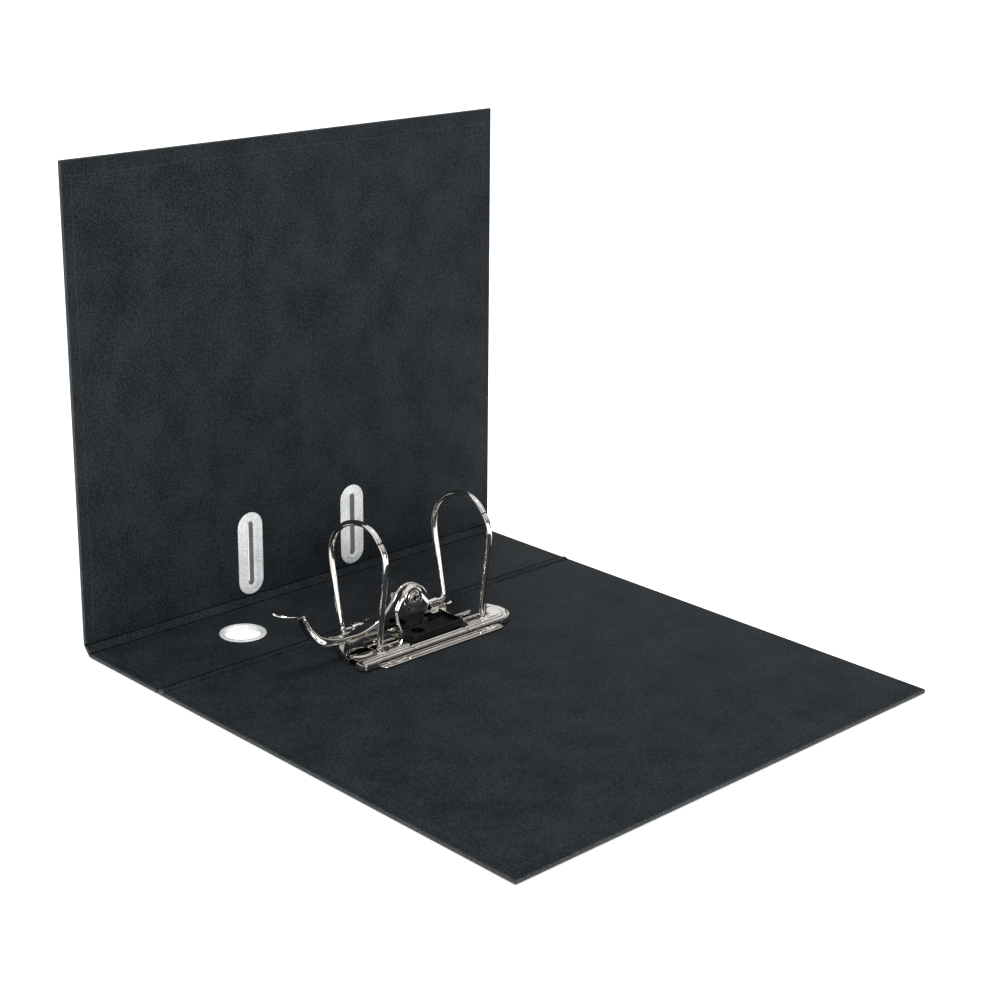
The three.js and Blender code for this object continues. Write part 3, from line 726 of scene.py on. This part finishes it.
# ---- Slot eyelets and finger ring ----
def build_eyelets():
    flange = [(18.5, 1.95, -4.3), (18.5, 1.95, 0.3), (18.5, 2.3, 0.8), (18.5, 2.9, 1.12), (18.45, 3.5, 1.2),
              (18.4, 4.2, 1.16), (18.35, 4.65, 0.98), (18.3, 4.95, 0.82), (17.9, 6.6, 0.86), (17.4, 8.3, 0.8),
              (17.25, 8.85, 0.62), (17.2, 9.15, 0.36), (17.2, 9.2, 0.1), (17.3, 8.6, 0.08), (18.5, 4.5, 0.08),
              (18.5, 4.5, -3.9), (18.5, 4.1, -4.3)]
    plate = [(18.5, 4.8, -2.7), (18.5, 4.8, -3.25), (18.45, 5.1, -3.4), (17.4, 8.6, -3.36),
             (17.2, 9.1, -3.15), (17.2, 9.2, -2.95), (17.2, 9.2, -2.7)]
    kinds = (("eyelet", flange, "slot_eyelet"), ("clinch", plate, "slot_clinch_plate"))
    for side, y in (("near", -ARCH_Y), ("far", ARCH_Y)):
        for name, profile, node in kinds:
            rings = [[on_front_cover(u, v, w) for u, v in capsule(SLOT_U, y, reach, r)]
                     for reach, r, w in profile]
            verts, faces = loft(rings, closed=True)
            # The bore faces take the darker plastic, a painted shade down inside the slot.
            bore_faces = len(rings[0]) if name == "eyelet" else 0
            indices = [int(i < bore_faces) for i in range(len(faces))]
            piece(f"{side}_{name}_moulding", verts, faces, [GREY_PLASTIC, SLOT_WALL_SHADE], "front_cover",
                  "grey_plastic", [f"{side}_{node}"], 40, indices)


def build_finger_ring():
    inner = [(11.0, -1.7), (11.0, 0.2), (11.15, 0.55), (11.6, 0.78), (12.4, 0.86), (13.4, 0.8), (13.85, 0.6),
             (14.0, 0.3), (14.0, 0.1), (11.8, 0.06), (11.8, -1.7)]
    outer = [(12.1, -0.2), (12.1, -2.35), (12.35, -2.58), (12.9, -2.6), (13.7, -2.56), (14.0, -2.3),
             (14.0, -1.8), (12.9, -1.8), (12.9, -0.2)]
    for half, profile in (("inner", inner), ("outer", outer)):
        piece(f"finger_ring_{half}_moulding", *lathe(profile, FINGER, sides=72, closed=True), GREY_PLASTIC,
              "spine", "grey_plastic", [f"finger_ring_{half}"], 40)


# ---- Wires ----
POST_LINE = [(POST_X, 3.6), (47.6, 11.3), (49, 23), (50.6, 35.6), (52.6, 52.2), (53.1, 59.6), (51.7, 65.6),
             (48.4, 70.2)]
ARCH_LINE = [(48, 70.6), (44.6, 74.2), (39.6, 77), (32.6, 78.3), (24.4, 77.3), (17, 74.3), (10.7, 69.2),
             (6.3, 62.8), (4.4, 55.5), (4.9, 47.1), (7.2, 35.6), (10.1, 21.4), (12.3, 11.7)]


def bend_path(points, radii):
    """Straight runs between points, with each inner corner rounded over its own reach."""
    out = [Vector(points[0])]
    for i, reach in enumerate(radii):
        corner = Vector(points[i + 1])
        back = corner + (Vector(points[i]) - corner).normalized() * reach
        ahead = corner + (Vector(points[i + 2]) - corner).normalized() * reach
        gap = (back - out[-1]).length
        for k in range(1, max(2, int(gap / 2.5))):
            out.append(out[-1].lerp(back, 1 / max(1, int(gap / 2.5) - k + 1)))
        for k in range(9):
            t = k / 8
            out.append((1 - t) ** 2 * back + 2 * t * (1 - t) * corner + t * t * ahead)
    out.append(Vector(points[-1]))
    return out


def build_wires():
    for side, y in (("near", -ARCH_Y), ("far", ARCH_Y)):
        line = catmull([(x, y, z) for x, z in POST_LINE], 8)
        piece(f"{side}_post_wire", *tube(line, WIRE), NICKEL_WIRE, "back_cover", "nickel_plate",
              [f"{side}_fixed_post"], 40)
    crank = SHAFT[0] + 7
    far = catmull([(x, ARCH_Y, z) for x, z in ARCH_LINE], 8)
    near = [Vector((p.x, -p.y, p.z)) for p in far][::-1]
    low = SHAFT[1]
    corners = [(SHAFT[0], ARCH_Y, low), (SHAFT[0], PIVOT[0] + 6, low), (crank, PIVOT[0] + 3, low),
               (crank, PIVOT[0] - 3, low), (SHAFT[0], PIVOT[0] - 6, low), (SHAFT[0], -ARCH_Y, low)]
    middle = bend_path([far[-1], *corners, near[0]], [4, 2.5, 1.8, 1.8, 2.5, 4])
    path = far + middle[1:-1] + near
    piece("arch_wires", *tube(path, WIRE), NICKEL_WIRE, "arches", "nickel_plate", ["arch_wire"], 40)


# ---- Base plate ----
def smooth_step(t):
    t = np.clip(t, 0, 1)
    return t * t * (3 - 2 * t)


def bead(q):
    """A round ridge across q from -1 to 1."""
    return np.sqrt(np.clip(1 - q * q, 0, 1))


TRAY = ([(10, -46), (37, -58)] + quad((37, -58), (41, -60), (45, -60)) + [(53, -60)]
        + quad((53, -60), (57.6, -60), (57.6, -55.5)) + [(57.6, 50)] + quad((57.6, 50), (56, 60), (44, 60))
        + quad((44, 60), (35, 60), (28, 54)) + [(10, 46)])
PLATE = ([(10, -46), (37, -58)] + quad((37, -58), (40, -59.6), (43.4, -60)) + [(43.8, -57.6), (49.2, -57.6),
         (49.6, -60), (53, -60)] + quad((53, -60), (57.6, -60), (57.6, -55.5)) + [(57.6, -48)]
         + quad((57.6, -48), (61.5, -47), (61.5, -44)) + [(61.5, 42)] + quad((61.5, 42), (61.5, 45), (57.6, 46))
         + [(57.6, 50)] + quad((57.6, 50), (56, 60), (44, 60)) + quad((44, 60), (35, 60), (28, 54))
         + [(10, 46), (10, 31)] + quad((10, 31), (5.6, 31), (5.6, 27)) + [(5.6, -27)]
         + quad((5.6, -27), (5.6, -31), (10, -31)))
LENS_PADS = [(40.4, -48.6), (44.6, 52.6)]
LENS_SIZE = (6.6, 8.6)
WALL = 0.45


def plate_height(points):
    x, y = points[:, 0], points[:, 1]
    edge = depth_in(points, TRAY)
    z = 1.1 + 3.3 * np.sin(np.clip(edge / WALL, 0, 1) * math.pi / 2)
    for cx, cy in LENS_PADS:
        r = np.hypot((x - cx) / LENS_SIZE[0], (y - cy) / LENS_SIZE[1])
        z = z + 0.7 * smooth_step((1.02 - r) / 0.2) * smooth_step(edge / 1.4)
    for side in (-1, 1):
        r = np.hypot(x - POST_X, y - side * ARCH_Y)
        z = z + 0.9 * smooth_step((4.2 - r) / 1.6)
        r = np.hypot(x - SHAFT[0], y - side * ARCH_Y)
        z = z + 0.5 * smooth_step((5 - r) / 2)
    for cy in (-29.5, 28.5):
        reach = smooth_step((x - 17) / 1.5) * smooth_step((46.5 - x) / 1.5)
        z = z - 0.7 * bead((y - cy) / 0.9) * reach
    return z


def bead_path(inset, z, crimps):
    """A line along the plate's front edge and round its far end, with small dips where it is crimped."""
    front = 57.6 - inset
    flat = [(front, -59 + inset * 0.4)] + [(front, -57 + 1.0 * i) for i in range(107)]
    turn = quad((front, 50), (56 - inset, 60 - inset), (44, 60 - inset), 16)
    out = []
    for x, y in flat + turn:
        dip = sum(math.exp(-((y - c) / 0.8) ** 2) for c in crimps)
        out.append((x, y, z - 0.75 * dip))
    return out


PLATE_RIBS = [(50.4, 26, 52, 0.5), (48.2, 27, 35, 0.45), (42.5, 25.5, 43, 0.6), (35, 26, 42, 0.45),
              (50.6, -52, -20, 0.5), (42, -38, -21, 0.45), (36.5, -40, -20, 0.5), (30, -38, -18, 0.45)]


def plate_beads():
    """The plate's two front ridges, the rolled rim of its flange, its ribs and its weld blobs."""
    made = []
    for inset, z, radius in ((4.4, 4.45, 0.72), (1.55, 4.15, 0.85)):
        made.append(piece("bead", *tube(bead_path(inset, z, (-21.5, 20.5)), radius, 16, 0.3), NICKEL))
    rim = [(58.4, -47.7, 1.0), (60.2, -47, 1.0), (61.1, -45.4, 1.0), (61.25, -43.5, 1.0), (61.25, 41.5, 1.0),
           (61.1, 43.6, 1.0), (60.2, 45.2, 1.0), (58.4, 46, 1.0)]
    made.append(piece("rim", *tube(rim, 0.42, 12, 0.2), NICKEL))
    for x, y0, y1, radius in PLATE_RIBS:
        line = [(x, y0 + (y1 - y0) * i / 12, 4.45) for i in range(13)]
        made.append(piece("rib", *tube(line, radius, 12, 0.3), NICKEL))
    for cy, long in ((-36.5, 4.2), (-27.5, 1.3), (27.5, 1.3), (36.5, 4.2)):
        rings = []
        for i in range(1, 8):
            a = math.pi * i / 8
            spread, rise = math.sin(a), -math.cos(a)
            rings.append([(59.6 + 1.15 * spread * math.cos(TWO_PI * k / 16),
                           cy + long * rise, 1.1 + 1.0 * spread * math.sin(TWO_PI * k / 16)) for k in range(16)])
        made.append(piece("blob", *loft(rings), NICKEL, smooth=80))
    return made


def saddle(y, width):
    """A strap over the arches' shaft, bent up out of the plate."""
    x, z = SHAFT
    inner = arc(x, z, WIRE + 0.3, WIRE + 0.3, 0, 180, 12)
    outer = arc(x, z, WIRE + 1.1, WIRE + 1.1, 180, 0, 12)
    foot = 4.0
    outline = ([(x + WIRE + 0.3, foot)] + inner + [(x - WIRE - 0.3, foot), (x - WIRE - 2.2, foot)]
               + quad((x - WIRE - 2.2, foot), (x - WIRE - 1.1, foot + 0.6), outer[0], 4) + outer[1:]
               + quad(outer[-1], (x + WIRE + 1.1, foot + 0.6), (x + WIRE + 2.2, foot), 4))
    return prism_piece("saddle", outline, y - width / 2, y + width / 2, NICKEL, lambda a, b, h: (a, h, b))


def build_base_plate():
    window = [(16.2, -12), (25, -12), (25, 4), (16.2, 4)]
    slots = [[(37.4, 31.4), (40.6, 31.4), (40.6, 37), (37.4, 37)],
             [(33, -38), (40, -38), (40, -34.5), (33, -34.5)],
             [(20, 12), (24, 12), (24, 22), (20, 22)], [(19, -27), (22.5, -27), (22.5, -17), (19, -17)]]
    posts = [arc(POST_X, y, 2.15, 2.15, 0, 345, 23) for y in (-ARCH_Y, ARCH_Y)]
    dense = resample(TRAY, 0.6)
    rings = [offset_inward(dense, inset) for inset in (0.02, 0.12, 0.24, 0.36, WALL, WALL + 0.4)]
    bands = [(TRAY, WALL + 0.6)]
    for cx, cy in LENS_PADS:
        loops = [arc(cx, cy, LENS_SIZE[0] * r, LENS_SIZE[1] * r, 0, 355, 71)
                 for r in (0.82, 0.87, 0.92, 0.97, 1.02)]
        rings += [[p for p in loop if depth_in(np.array([p]), TRAY)[0] > WALL + 0.5] for loop in loops]
        bands.append((loops[-1], LENS_SIZE[0] * 0.24))
    holes = [window, *slots, *posts]
    verts, faces = pressing(PLATE, holes, plate_height, 0.62, lambda a, b, h: (a, b, h), rings, bands)
    plate = piece("plate", verts, faces, NICKEL)
    thicken(plate, SHEET * 0.85, 0.12, 50, (0, 0, 1))
    parts = [plate, *plate_beads()]
    parts += [bevelled(saddle(y, w), 0.2) for y, w in ((-30, 6), (30, 6), (14, 5), (-20, 5))]
    for low, high in (((38.6, 30.2, 3.6), (39.4, 37.5, 6.0)), ((34, -33.9, 3.6), (40, -33.1, 6.0)),
                      ((49.6, 27.5, 3.6), (50.4, 36, 5.6)), ((49.6, -35, 3.6), (50.4, -20, 5.6))):
        parts.append(bevelled(box_piece("lug", low, high, NICKEL), 0.3))
    attach(join("base_plate_pressing", parts), "back_cover", ["base_plate"])


def offset_inward(outline, inset):
    """Points of an outline moved inward along their normals, kept only where they stay that deep."""
    pts = np.array(outline)
    ahead, behind = np.roll(pts, -1, 0), np.roll(pts, 1, 0)
    along = ahead - behind
    normal = np.stack([-along[:, 1], along[:, 0]], 1) / np.linalg.norm(along, axis=1)[:, None]
    moved = pts + normal * inset
    deep = depth_in(moved, list(map(tuple, pts)))
    return [tuple(p) for p, d in zip(moved, deep) if d > inset * 0.93]


# ---- Bracket with the pivot ear ----
EAR = ([(-13, 4.7), (3.6, 4.7), (4.6, 9.6), (10.8, 18.4)] + quad((10.8, 18.4), (9.0, 23), (-2.4, 32.8))
       + quad((-2.4, 32.8), (-6, 35.6), (-10, 31.4)) + quad((-10, 31.4), (-15, 25.4), (-17.4, 20.4))
       + quad((-17.4, 20.4), (-17.4, 13), (-15, 9.6)))
EAR_FLANK = [(4.0, 4.7), (4.6, 9.6), (10.8, 18.4), (4, 26.4)]


def to_line(points, line):
    """Distance from each point to an open line."""
    best = np.full(len(points), 1e9)
    for a, b in zip(line, line[1:]):
        a, b = np.array(a), np.array(b)
        along = b - a
        t = np.clip(((points - a) @ along) / (along @ along), 0, 1)
        best = np.minimum(best, np.linalg.norm(points - a - t[:, None] * along, axis=1))
    return best


def ear_height(points):
    edge = depth_in(points, EAR)
    r = np.hypot(points[:, 0] - PIVOT[0], points[:, 1] - PIVOT[1])
    disc = 0.8 * smooth_step((7.6 - r) / 1.2)
    boss = 0.4 * smooth_step((4.7 - r) / 0.7)
    roll = -1.1 * (1 - np.clip(edge / 1.6, 0, 1)) ** 2
    flank = 0.6 * np.clip(3.2 - to_line(points, EAR_FLANK), 0, 3.2)
    root = 1.4 * (1 - np.clip((points[:, 1] - 4.7) / 6, 0, 1)) ** 2
    return disc + boss + roll - flank + root


def build_bracket():
    hole = arc(PIVOT[0], PIVOT[1], 2.3, 2.3, 0, 350, 28)
    rings = [offset_inward(resample(EAR, 0.7), inset) for inset in (0.4, 0.9, 1.4, 1.9)]
    rings += [arc(PIVOT[0], PIVOT[1], r, r, 0, 355, 60) for r in (4.0, 4.35, 4.7, 6.4, 6.8, 7.2, 7.6)]
    verts, faces = pressing(EAR, [hole], ear_height, 0.55, lambda a, b, h: (EAR_FACE + h, a, b), rings)
    ear = thicken(piece("ear", verts, faces, NICKEL), 0.75, 0.12, 50, (1, 0, 0), even=False)
    foot = bevelled(box_piece("foot", (26.5, -13, 4.7), (EAR_FACE, 3.6, 5.5), NICKEL), 0.25)
    attach(join("bracket_pressing", [ear, foot]), "back_cover", ["lever_bracket"])


# ---- Lever ----
LEVER_TOP = [(-84.6, 36.3), (-83.6, 34.6), (-82.4, 31.8), (-78.4, 24.9), (-72.6, 19.2), (-67.6, 16.6),
             (-60.8, 14.3), (-51.7, 13.4), (-43.2, 13.2), (-35.7, 14.7), (-28.4, 17.8), (-22.6, 22.6),
             (-18, 27.8), (-15.8, 31.4), (-11.4, 34.3), (-6.5, 34.9), (-1, 33.2),
             (4.5, 29.4), (8.2, 24.2), (9.6, 18.5)]
LEVER_LOW = [(-84.7, 36.1), (-84.2, 34.2), (-84.6, 31.0), (-83.0, 26.0), (-79.6, 20.4), (-74.6, 15.1),
             (-68.6, 12.3), (-60, 11.2), (-49, 10.4), (-38, 10), (-28, 9.8), (-21.5, 10), (-17, 10.2),
             (-14, 10.4), (-11, 10.2), (-7, 10.2), (-2, 10.2), (2.6, 10.2), (4.3, 11.4), (5.4, 13)]
LEVER_FACE = 34.8
LEVER_HALF = (2.9, 4.4)
SKIRT_FLARE = 1.6
TAB = (-93.4, 38.0, 10.0, 7.2, 0.22)


def lever_half(y):
    """Half the width of the lever, which is slim at the neck and wide at the head."""
    return LEVER_HALF[0] + (LEVER_HALF[1] - LEVER_HALF[0]) * smooth_step((y + 60) / 32).item()


def lever_stations():
    """Along the lever from the thumb tab's tip: centre (x, y, z), half width and skirt foot, or None."""
    out = []
    mid, level, reach, half, tilt = TAB
    neck = LEVER_HALF[0]
    for i in range(1, 15):
        a = math.pi * (1 - i / 17)
        y = mid + reach * math.cos(a)
        spread = half * math.sin(a)
        if y > mid:
            blend = smooth_step(np.array((y - mid) / reach)).item()
            spread = spread * (1 - blend) + max(spread, neck) * blend
        z = level - tilt * (y - mid) + 0.5 * ((y - mid) / reach) ** 2 * (1 if y < mid else 0)
        out.append(((LEVER_FACE - neck, y, z), spread, None))
    top = catmull([(y, z, 0) for y, z in LEVER_TOP], 4)
    low = catmull([(y, z, 0) for y, z in LEVER_LOW], 4)
    for p, q in zip(top, low):
        half = lever_half(np.array(p.x))
        out.append(((LEVER_FACE - half, p.x, p.y), half, (q.x, q.y)))
    return out


def lever_section(station):
    """One section from skirt foot to skirt foot, over rounded shoulders."""
    (centre, y, z), half, foot = station
    corner = min(1.1, half * 0.5)
    if foot is None:
        foot = (y, z)
        drop = Vector((0.0, 0.0))
    else:
        drop = Vector(foot) - Vector((y, z))
    depth = drop.length
    down = drop.normalized() if depth > 1e-6 else Vector((0.0, -1.0))
    radius = min(corner, depth)
    flare = SKIRT_FLARE * (1 - smooth_step((y + 70) / 18).item()) if depth > corner else 0.0
    side = []
    for k in range(5):
        t = k / 4
        side.append((half + flare * (1 - t) ** 1.5, depth - (depth - radius) * t))
    bend = []
    for k in range(1, 6):
        a = math.radians(90 * k / 5)
        bend.append((half - corner + corner * math.cos(a), radius - radius * math.sin(a)))
    flat = [((half - corner) * (1 - k / 4), 0.0) for k in range(1, 5)]
    right = side + bend + flat
    left = [(-min(a, half), d) for a, d in right[:-1]][::-1]
    return [(centre + a, y + down.x * d, z + down.y * d) for a, d in right + left]


def build_lever():
    rows = [lever_section(s) for s in lever_stations()]
    count = len(rows[0])
    verts = [p for r in rows for p in r]
    faces = []
    for i in range(len(rows) - 1):
        for j in range(count - 1):
            a = i * count + j
            faces.append((a, a + 1, a + count + 1, a + count))
    tip = len(verts)
    verts.append((LEVER_FACE - LEVER_HALF[0], rows[0][0][1] - 0.25, rows[0][0][2]))
    faces += [(tip, j + 1, j) for j in range(count - 1)]
    obj = piece("lever_pressing", verts, faces, NICKEL)
    thicken(obj, 0.95, 0.2, 45, (0, 0, 1))
    hole = piece("hole", *lathe([(2.2, 24), (2.2, 40)], PIVOT, "x"), NICKEL)
    carve(obj, [hole], 45)
    attach(obj, "lever", ["lever"])


# ---- Rivets, roller, spring and insert ----
def build_small_parts():
    rivet = [(1.3, 24.9), (1.9, 24.9), (2.9, 25.0), (3.2, 25.25), (3.1, 25.55), (2.0, 25.7),
             (2.0, EAR_FACE + 1.2), (3.2, EAR_FACE + 1.25), (3.4, EAR_FACE + 1.5),
             (3.25, EAR_FACE + 1.9), (2.6, EAR_FACE + 2.25),
             (1.9, EAR_FACE + 2.2), (1.45, EAR_FACE + 1.95), (1.3, EAR_FACE + 1.5)]
    piece("pivot_rivet_turning", *lathe(rivet, PIVOT, "x", 48, True), NICKEL, "back_cover", "nickel_plate",
          ["lever_pivot_rivet"], 40)
    at = (PIVOT[0], ROLLER_Z)
    drum = [(1.5, 18.3), (2.5, 18.3), (2.7, 18.5), (2.7, 25.1), (2.5, 25.3), (1.5, 25.3)]
    piece("roller_turning", *lathe(drum, at, "x", 40, True), NICKEL, "roller", "nickel_small_parts",
          ["cam_roller"], 40)
    pin = [(0, 17.2), (1.7, 17.2), (2.0, 17.45), (2.0, 17.9), (1.2, 18.05), (1.2, 27.3), (1.9, 27.4),
           (1.8, 27.8), (1.3, 28.0), (0, 28.0)]
    piece("roller_pin_turning", *lathe(pin, at, "x", 32), NICKEL, "lever", "nickel_small_parts",
          ["roller_pin"], 40)
    for end, side in (("near", -1), ("far", 1)):
        for place, x, y in (("front", 57.0, 39.0), ("rear", 10.4, 22.0)):
            head = [(0, -2.6), (4.0, -2.6), (4.2, -2.4), (4.15, -2.05), (1.8, -1.9), (1.8, 1.2), (3.4, 1.2),
                    (3.6, 1.5), (3.3, 2.0), (2.2, 2.35), (0, 2.4)]
            name = f"fixing_rivet_{place}_{end}"
            piece(f"{name}_turning", *lathe(head, (x, side * y)), NICKEL, "back_cover", "nickel_plate",
                  [name], 40)
    for end, y in (("near", -10), ("far", 0.4)):
        head = [(0, 2.7), (2.3, 2.7), (2.4, 3.4), (1.5, 3.5), (1.5, 5.5), (2.3, 5.6), (2.4, 5.9), (1.9, 6.25),
                (0.9, 6.4), (0, 6.4)]
        piece(f"bracket_rivet_{end}_turning", *lathe(head, (30.4, y)), NICKEL, "back_cover", "nickel_plate",
              [f"bracket_rivet_{end}"], 40)


def build_spring():
    rise = ((-14, 0.75), (-8, 0.95), (-4, 2.6), (-1.5, 4.0), (1.5, 4.0), (4, 2.6), (8, 0.95), (14, 0.75))
    line = catmull([(20.5, PIVOT[0] + d, z) for d, z in rise], 6)
    rings = []
    for p, q in zip(line, line[1:] + line[-1:]):
        along = (q - p).normalized() if (q - p).length > 1e-6 else Vector((0, 1, 0))
        up = Vector((0, -along.z, along.y)) * 0.25
        rings.append([tuple(c) for c in (p + Vector((-2.7, 0, 0)) - up, p + Vector((2.7, 0, 0)) - up,
                                         p + Vector((2.7, 0, 0)) + up, p + Vector((-2.7, 0, 0)) + up)])
    piece("leaf_spring_strip", *loft(rings), SPRING_STEEL, "back_cover", "spring_steel", ["leaf_spring"], 30)


def build_insert():
    outline = ([(49.4, 23.6), (30.2, 23.6), (30.2, 11.6), (37.4, 11.6), (37.4, -10)]
               + quad((37.4, -10), (37.4, -17.6), (44.4, -17.6))
               + quad((44.4, -17.6), (51, -17.6), (51, -11)))
    body = bevelled(prism_piece("insert", outline, 4.6, 8.4, BLACK_PLASTIC), 0.5, 3)
    pit = piece("pit", *lathe([(4.2, 5.2), (4.2, 9.5)], (44.6, -8.6)), BLACK_PLASTIC)
    tray = box_piece("tray", (31.2, 13, 6.4), (47.8, 22.6, 9.5), BLACK_PLASTIC)
    notches = [box_piece("notch", (36.8, y, 7.2), (38.4, y + 2.0, 9.5), BLACK_PLASTIC) for y in (1, 6)]
    carve(body, [pit, tray, *notches])
    rim = piece("rim", *lathe([(4.2, 7.2), (4.2, 8.5), (4.4, 8.7), (4.8, 8.7), (5.0, 8.5), (5.0, 7.2)],
                              (44.6, -8.6), closed=True), BLACK_PLASTIC)
    peg = piece("peg", *lathe([(0, 4.6), (1.0, 4.6), (1.0, 6.2), (0.8, 6.5), (0, 6.6)], (43.6, -8.4)), NICKEL)
    attach(join("insert_moulding", [body, rim, peg]), "back_cover", ["plastic_insert"])


# ---- Studio ----
def build_sky():
    """A white room: bright above, dimmer near the horizon, and plain white where the camera sees it."""
    world = bpy.data.worlds.new("studio")
    bpy.context.scene.world = world
    world.use_nodes = True
    tree = world.node_tree
    background = tree.nodes["Background"]
    direction = tree.nodes.new("ShaderNodeTexCoord")
    parts = tree.nodes.new("ShaderNodeSeparateXYZ")
    tree.links.new(direction.outputs["Generated"], parts.inputs[0])
    level = tree.nodes.new("ShaderNodeMapRange")
    level.interpolation_type = "SMOOTHSTEP"
    slant = tree.nodes.new("ShaderNodeMath")
    slant.operation = "MULTIPLY_ADD"
    slant.inputs[1].default_value = -0.4
    tree.links.new(parts.outputs["X"], slant.inputs[0])
    tree.links.new(parts.outputs["Z"], slant.inputs[2])
    tree.links.new(slant.outputs[0], level.inputs["Value"])
    for socket, value in (("From Min", 0.0), ("From Max", 0.7), ("To Min", 0.06), ("To Max", 0.92)):
        level.inputs[socket].default_value = value
    path = tree.nodes.new("ShaderNodeLightPath")
    seen = tree.nodes.new("ShaderNodeMath")
    seen.operation = "MAXIMUM"
    tree.links.new(path.outputs["Is Camera Ray"], seen.inputs[0])
    tree.links.new(level.outputs[0], seen.inputs[1])
    background.inputs[0].default_value = (1, 1, 1, 1)
    tree.links.new(seen.outputs[0], background.inputs[1])


def build_studio():
    build_sky()
    floor = bpy.data.meshes.new("floor")
    floor.from_pydata([(-12, -12, 0), (12, -12, 0), (12, 12, 0), (-12, 12, 0)], [], [(0, 1, 2, 3)])
    obj = bpy.data.objects.new("floor", floor)
    bpy.context.scene.collection.objects.link(obj)
    n = Nodes("floor")
    n.link("Base Color", (0.93, 0.93, 0.93, 1))
    n.link("Roughness", 0.85)
    n.link("Specular IOR Level", 0.1)
    n.link("Emission Color", (1, 1, 1, 1))
    n.link("Emission Strength", 0.55)
    floor.materials.append(n.material)
    obj.location.z = -0.0004
    sun("overhead", (0.03, -0.04, 1.0), 0.85, 6)
    sun("front", (0.9, -0.4, 0.09), 3.0, 30)


def sun(name, toward, strength, spread):
    light = bpy.data.lights.new(name, "SUN")
    light.energy = strength
    light.angle = math.radians(spread)
    obj = bpy.data.objects.new(name, light)
    bpy.context.scene.collection.objects.link(obj)
    obj.rotation_mode = "QUATERNION"
    obj.rotation_quaternion = (-Vector(toward)).to_track_quat("-Z", "Y")


def build_camera():
    yaw, pitch, roll = 0.81028, 0.29825, 0.00993
    forward = Vector((-math.sin(yaw) * math.cos(pitch), math.cos(yaw) * math.cos(pitch), -math.sin(pitch)))
    level = Vector((math.cos(yaw), math.sin(yaw), 0))
    down = forward.cross(level)
    right = level * math.cos(roll) - down * math.sin(roll)
    up = -(level * math.sin(roll) + down * math.cos(roll))
    camera = bpy.data.cameras.new("camera")
    camera.lens = 73.785
    camera.sensor_width = 36
    camera.shift_y = -0.06
    camera.clip_start = 0.05
    camera.clip_end = 60
    obj = bpy.data.objects.new("camera", camera)
    bpy.context.scene.collection.objects.link(obj)
    place = row((883.38, -741.81, 467.57))
    obj.matrix_world = Matrix((
        (right.x, up.x, -forward.x, place.x),
        (right.y, up.y, -forward.y, place.y),
        (right.z, up.z, -forward.z, place.z),
        (0, 0, 0, 1),
    ))
    bpy.context.scene.camera = obj
    bpy.context.scene.view_settings.view_transform = "Standard"


build_camera()
build_studio()
build_case()
build_eyelets()
build_finger_ring()
build_wires()
build_base_plate()
build_bracket()
build_lever()
build_small_parts()
build_spring()
build_insert()

bpy.context.view_layer.update()
